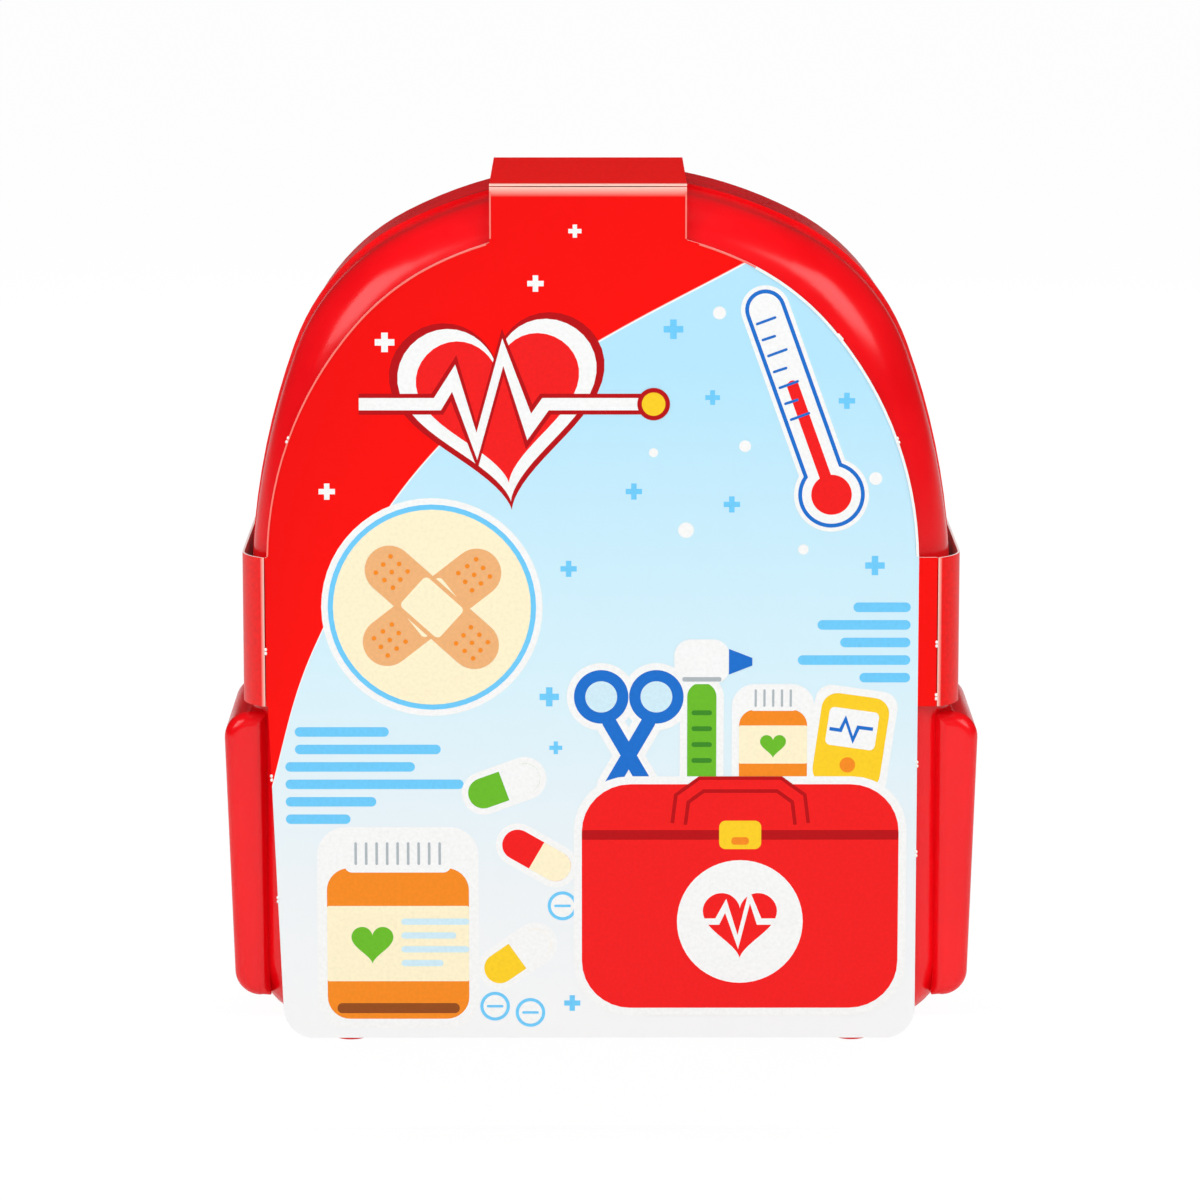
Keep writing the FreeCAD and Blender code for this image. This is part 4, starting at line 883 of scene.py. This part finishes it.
def band_mesh(name, side):
    """A closed flat tube with rounded edges and rounded ends."""
    rim = [rim_point(i) for i in range(RIM_COUNT)]
    mesh, build = bpy.data.meshes.new(name), bmesh.new()
    uv = build.loops.layers.uv.new("band")
    rows, spots = [], {}
    for place in (tab_far * (-1 + 2 * i / BAND_STEPS) for i in range(BAND_STEPS + 1)):
        from_end = min(tab_far - abs(place), END_ROUND) / END_ROUND
        half = STRAP_WIDE / 2 - END_ROUND * (1 - math.sqrt(max(0.0, 1 - (1 - from_end) ** 2)))
        row = []
        for c, t in rim:
            corner = build.verts.new(on_strap(side, place, half * c, STRAP_THICK / 2 * t))
            spots[corner] = (place, half * c)
            row.append(corner)
        rows.append(row)
    for one, two in zip(rows, rows[1:]):
        for i in range(RIM_COUNT):
            after = (i + 1) % RIM_COUNT
            build.faces.new((one[i], one[after], two[after], two[i]))
    build.faces.new(rows[0][::-1])
    build.faces.new(rows[-1])
    bmesh.ops.recalc_face_normals(build, faces=build.faces)
    for face in build.faces:
        face.smooth = len(face.verts) == 4
        for loop in face.loops:
            loop[uv].uv = spots[loop.vert]
    build.to_mesh(mesh)
    build.free()
    mesh.materials.append(webbing)
    return mesh


print("corners round a band:", RIM_COUNT)

# %% The two bands and their stitched boxes
SEAM_LONG, SEAM_WIDE = 0.0078, 0.0085
SEAM_BOX = [(-SEAM_LONG, -SEAM_WIDE), (SEAM_LONG, -SEAM_WIDE), (SEAM_LONG, SEAM_WIDE),
            (-SEAM_LONG, SEAM_WIDE)]

for side, name in ((-1, "left"), (1, "right")):
    band = link(f"shoulder_band_{name}", band_mesh(f"shoulder_band_{name}", side))
    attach(band, "case_back")
    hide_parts(f"strap_{name}")
    boxes = [[on_strap(side, end * strap_half + s, w, STRAP_THICK / 2) for s, w in SEAM_BOX]
             for end in (-1, 1)]
    seam = grow(f"band_stitches_{name}", along, path_mesh("seam", boxes, True), thread_white,
                Step=0.0022, Long=0.0017, Wide=0.0006, High=0.0004)
    settle(seam, Matrix(), "case_back")
print("distance between a band's studs:", round(2 * strap_half, 4))

# %% [markdown]
# ## Small marks on the tools
#
# Toy tools carry a few cheap details: ridges on the bottle's cap, a paper label, rings on the grip,
# marks on the syringe, a pulse line on the screen. They are what a hand or an eye meets first when the
# case is open. The rows among them come from the trees above, and the flat ones are printed shapes.

# %% Cap ridges
cap_low, cap_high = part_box("bottle_cap")
RIDGE_SHARE = 0.86
ridges = grow("cap_ridges", around, path_mesh("dot", [[(0, 0, 0)]]), white_plastic, Count=36,
              Radius=(cap_high.x - cap_low.x) / 2, Deep=0.0007, Wide=0.0009,
              High=(cap_high.z - cap_low.z) * RIDGE_SHARE)
settle(ridges, Matrix.Translation((cap_low + cap_high) / 2), "cap")

# %% Grip rings
grip_low, grip_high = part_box("otoscope_handle")
grip_middle = (grip_low + grip_high) / 2
RING_START, RING_STEP, RING_COUNT, RING_RADIUS = 0.014, 0.006, 8, 0.0080
ring_places = [(0, 0, grip_low.z + RING_START + RING_STEP * i) for i in range(RING_COUNT)]
rings = grow("grip_rings", marks, path_mesh("grip_places", [ring_places]), green_plastic,
             Radius=RING_RADIUS, Thick=0.0007, From=0.0, Sweep=2 * math.pi)
settle(rings, Matrix.Translation((grip_middle.x, grip_middle.y, 0)), "case_back")

# %% Syringe marks, every fifth one longer
barrel_low, barrel_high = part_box("syringe_barrel")
barrel_middle = (barrel_low + barrel_high) / 2
BARREL_RADIUS, MARK_START, MARK_STEP, MARK_COUNT = 0.009, 0.020, 0.0024, 21
dark_mark = moulded_plastic("mark_ink", srgb(34, 74, 150), 0.4, 0.5)
turn_to_tube = (Matrix.Translation((0, barrel_middle.y, barrel_middle.z))
                @ Matrix.Rotation(math.pi / 2, 4, "Y"))
for name, fifth, sweep in (("short", False, 0.55), ("long", True, 1.0)):
    places = [(0, 0, barrel_low.x + MARK_START + MARK_STEP * i) for i in range(MARK_COUNT)
              if (i % 5 == 0) == fifth]
    lines = grow(f"syringe_marks_{name}", marks, path_mesh("mark_places", [places]), dark_mark,
                 Radius=BARREL_RADIUS, Thick=0.00014, From=-math.pi / 2 - sweep / 2, Sweep=sweep)
    settle(lines, turn_to_tube, "case_back")

# %% Picture on the screen
screen_low, screen_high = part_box("monitor_screen")
screen_x = 1000 * (screen_low.x + screen_high.x) / 2
screen_z = 1000 * (screen_low.z + screen_high.z) / 2
paint("pale", rounded_box(screen_x, screen_z, 36, 30, 2.4), 0)
for z in (screen_z - 15 + 5 * i for i in range(1, 6)):
    paint("sky", bar((screen_x - 16.5, z), (screen_x + 16.5, z), 0.25), 1)
for x in (screen_x - 17.5 + 5 * i for i in range(1, 7)):
    paint("sky", bar((x, screen_z - 13), (x, screen_z + 13), 0.25), 1.5)
wave = [(-16, -2), (-9, -2), (-7, 0.5), (-5, -2), (-3, -2), (-1, 9), (2, -10), (4, -2), (7, -2),
        (9, 1), (11, -2), (16, -2)]
paint("blue", ribbon([(screen_x + x, screen_z + z) for x, z in wave], 1.3), 3)
paint("red", heart(screen_x + 11.5, screen_z + 9.5, 6), 3)
pulse = flat_sheet("screen_picture", screen_low.y)
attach(pulse, "case_back")
print("screen picture faces:", len(pulse.data.polygons))

# %% Label on the bottle
bottle_low, bottle_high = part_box("bottle")
bottle_middle = (bottle_low + bottle_high) / 2
LABEL_RADIUS, LABEL_HIGH, LABEL_SWEEP, LABEL_START = 0.01206, 0.018, 4.4, 0.011
LABEL_THICK, LABEL_STEPS = 0.00005, 40


def wrapped_label(name, finish):
    """A paper label round an upright bottle, facing the tray side, with its edges turned in."""
    mesh, build = bpy.data.meshes.new(name), bmesh.new()
    columns = [math.pi / 2 - LABEL_SWEEP / 2 + LABEL_SWEEP * i / LABEL_STEPS
               for i in range(LABEL_STEPS + 1)]
    inner = LABEL_RADIUS - LABEL_THICK
    rows = [[build.verts.new((r * math.cos(a), r * math.sin(a), z)) for a in columns] for z, r in (
        (0, inner), (0, LABEL_RADIUS), (LABEL_HIGH, LABEL_RADIUS), (LABEL_HIGH, inner))]
    for one, two in zip(rows, rows[1:]):
        for i in range(LABEL_STEPS):
            build.faces.new((one[i], one[i + 1], two[i + 1], two[i]))
    bmesh.ops.recalc_face_normals(build, faces=build.faces)
    build.to_mesh(mesh)
    build.free()
    mesh.materials.append(finish)
    for face in mesh.polygons:
        face.use_smooth = True
    return link(name, mesh)


label = wrapped_label("bottle_label", INKS["cream"])
label_place = (bottle_middle.x, bottle_middle.y, bottle_low.z + LABEL_START)
settle(label, Matrix.Translation(label_place), "lid")
print("label faces:", len(label.data.polygons))

# %% Cross slots in the tray's screws
SCREW_PLACES = [(side * x, z) for x, z in ((90, 26), (78, 188)) for side in (-1, 1)]
SLOT_SIZE, FIRST_LEAN, NEXT_LEAN = 3.9, 20, 31
for i, (x, z) in enumerate(SCREW_PLACES):
    paint("ink", turned(plus(x, z, SLOT_SIZE), (x, z), FIRST_LEAN + NEXT_LEAN * i), 0)
cross_slots = flat_sheet("screw_slots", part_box("tray_screws")[0].y)
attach(cross_slots, "case_back")
print("cross slots:", len(SCREW_PLACES))

# %% [markdown]
# ## The card's cut edge and its nicks
#
# A die cuts the sleeve out of a large sheet. The cut leaves a thin pale line along the arch, and the
# small bridges that held the sleeve in its sheet leave torn white nicks. Both follow the card's own
# outline, so they are laid out along the edges of the CAD piece, not along a second drawing of it.

# %% The card's pale cut edge
EDGE_STEP, EDGE_LAYER, ON_PLANE = 0.0015, 12, 0.0001
FLAP_TOP, LINE_END, ARCH_TOP, NECK_LOW, NECK_TOP = 0.1558, 0.2452, 0.2522, 0.2537, 0.2680
card_mesh = cad_nodes["card_front"].data


def card_edge(side, height):
    """How far the card's front reaches to the left (-1) or right (1) at a height."""
    reach = 0.0
    for edge in card_mesh.edges:
        one, two = (card_mesh.vertices[i].co for i in edge.vertices)
        on_front = max(abs(one.y - CARD_FRONT), abs(two.y - CARD_FRONT)) < ON_PLANE
        if on_front and (one.z - height) * (two.z - height) < 0:
            x = one.x + (two.x - one.x) * (height - one.z) / (two.z - one.z)
            reach = max(reach, side * x)
    return side * reach


def edge_strip(side, low, high, width):
    """A thin strip just inside the card's cut edge, between two heights, in millimetres."""
    count = max(2, round((high - low) / EDGE_STEP))
    heights = [low + (high - low) * i / count for i in range(count + 1)]
    outer = [Vector((1000 * card_edge(side, z), 1000 * z)) for z in heights]
    inner = []
    for i, here in enumerate(outer):
        run = (outer[min(i + 1, count)] - outer[max(i - 1, 0)]).normalized()
        inner.append(here + side * width * Vector((-run.y, run.x)))
    return [tuple(place) for place in outer + inner[::-1]]


for ink, side, low, high, width in (
        ("rose", -1, FLAP_TOP, ARCH_TOP, 0.5), ("white", 1, FLAP_TOP, LINE_END, 0.8),
        ("rose", 1, LINE_END, ARCH_TOP, 0.5), ("rose", -1, NECK_LOW, NECK_TOP, 0.5),
        ("rose", 1, NECK_LOW, NECK_TOP, 0.5)):
    paint(ink, edge_strip(side, low, high, width), EDGE_LAYER)
cut_edge = flat_sheet("card_cut_edge", CARD_FRONT)
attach(cut_edge, "lid")
print("cut edge faces:", len(cut_edge.data.polygons))

# %% Nicks where the card was held in its sheet
NICK_HEIGHTS = {-1: (0.048, 0.0865, 0.1262, 0.192),
                1: (0.0625, 0.0908, 0.112, 0.1285, 0.1918, 0.2236)}
NICK_HALF = 0.0006
nick_white = printed_ink("torn_board", srgb(250, 247, 243))
nick_paths = []
for side, heights in NICK_HEIGHTS.items():
    for height in heights:
        ends = (height - NICK_HALF, height + NICK_HALF)
        nick_paths.append([(card_edge(side, z), CARD_FRONT - INK_LAYER, z) for z in ends])
nicks = grow("card_nicks", along, path_mesh("nicks", nick_paths), nick_white, Step=0.0007, Long=0.0011,
             Wide=0.0009, High=0.0009)
settle(nicks, Matrix(), "lid")
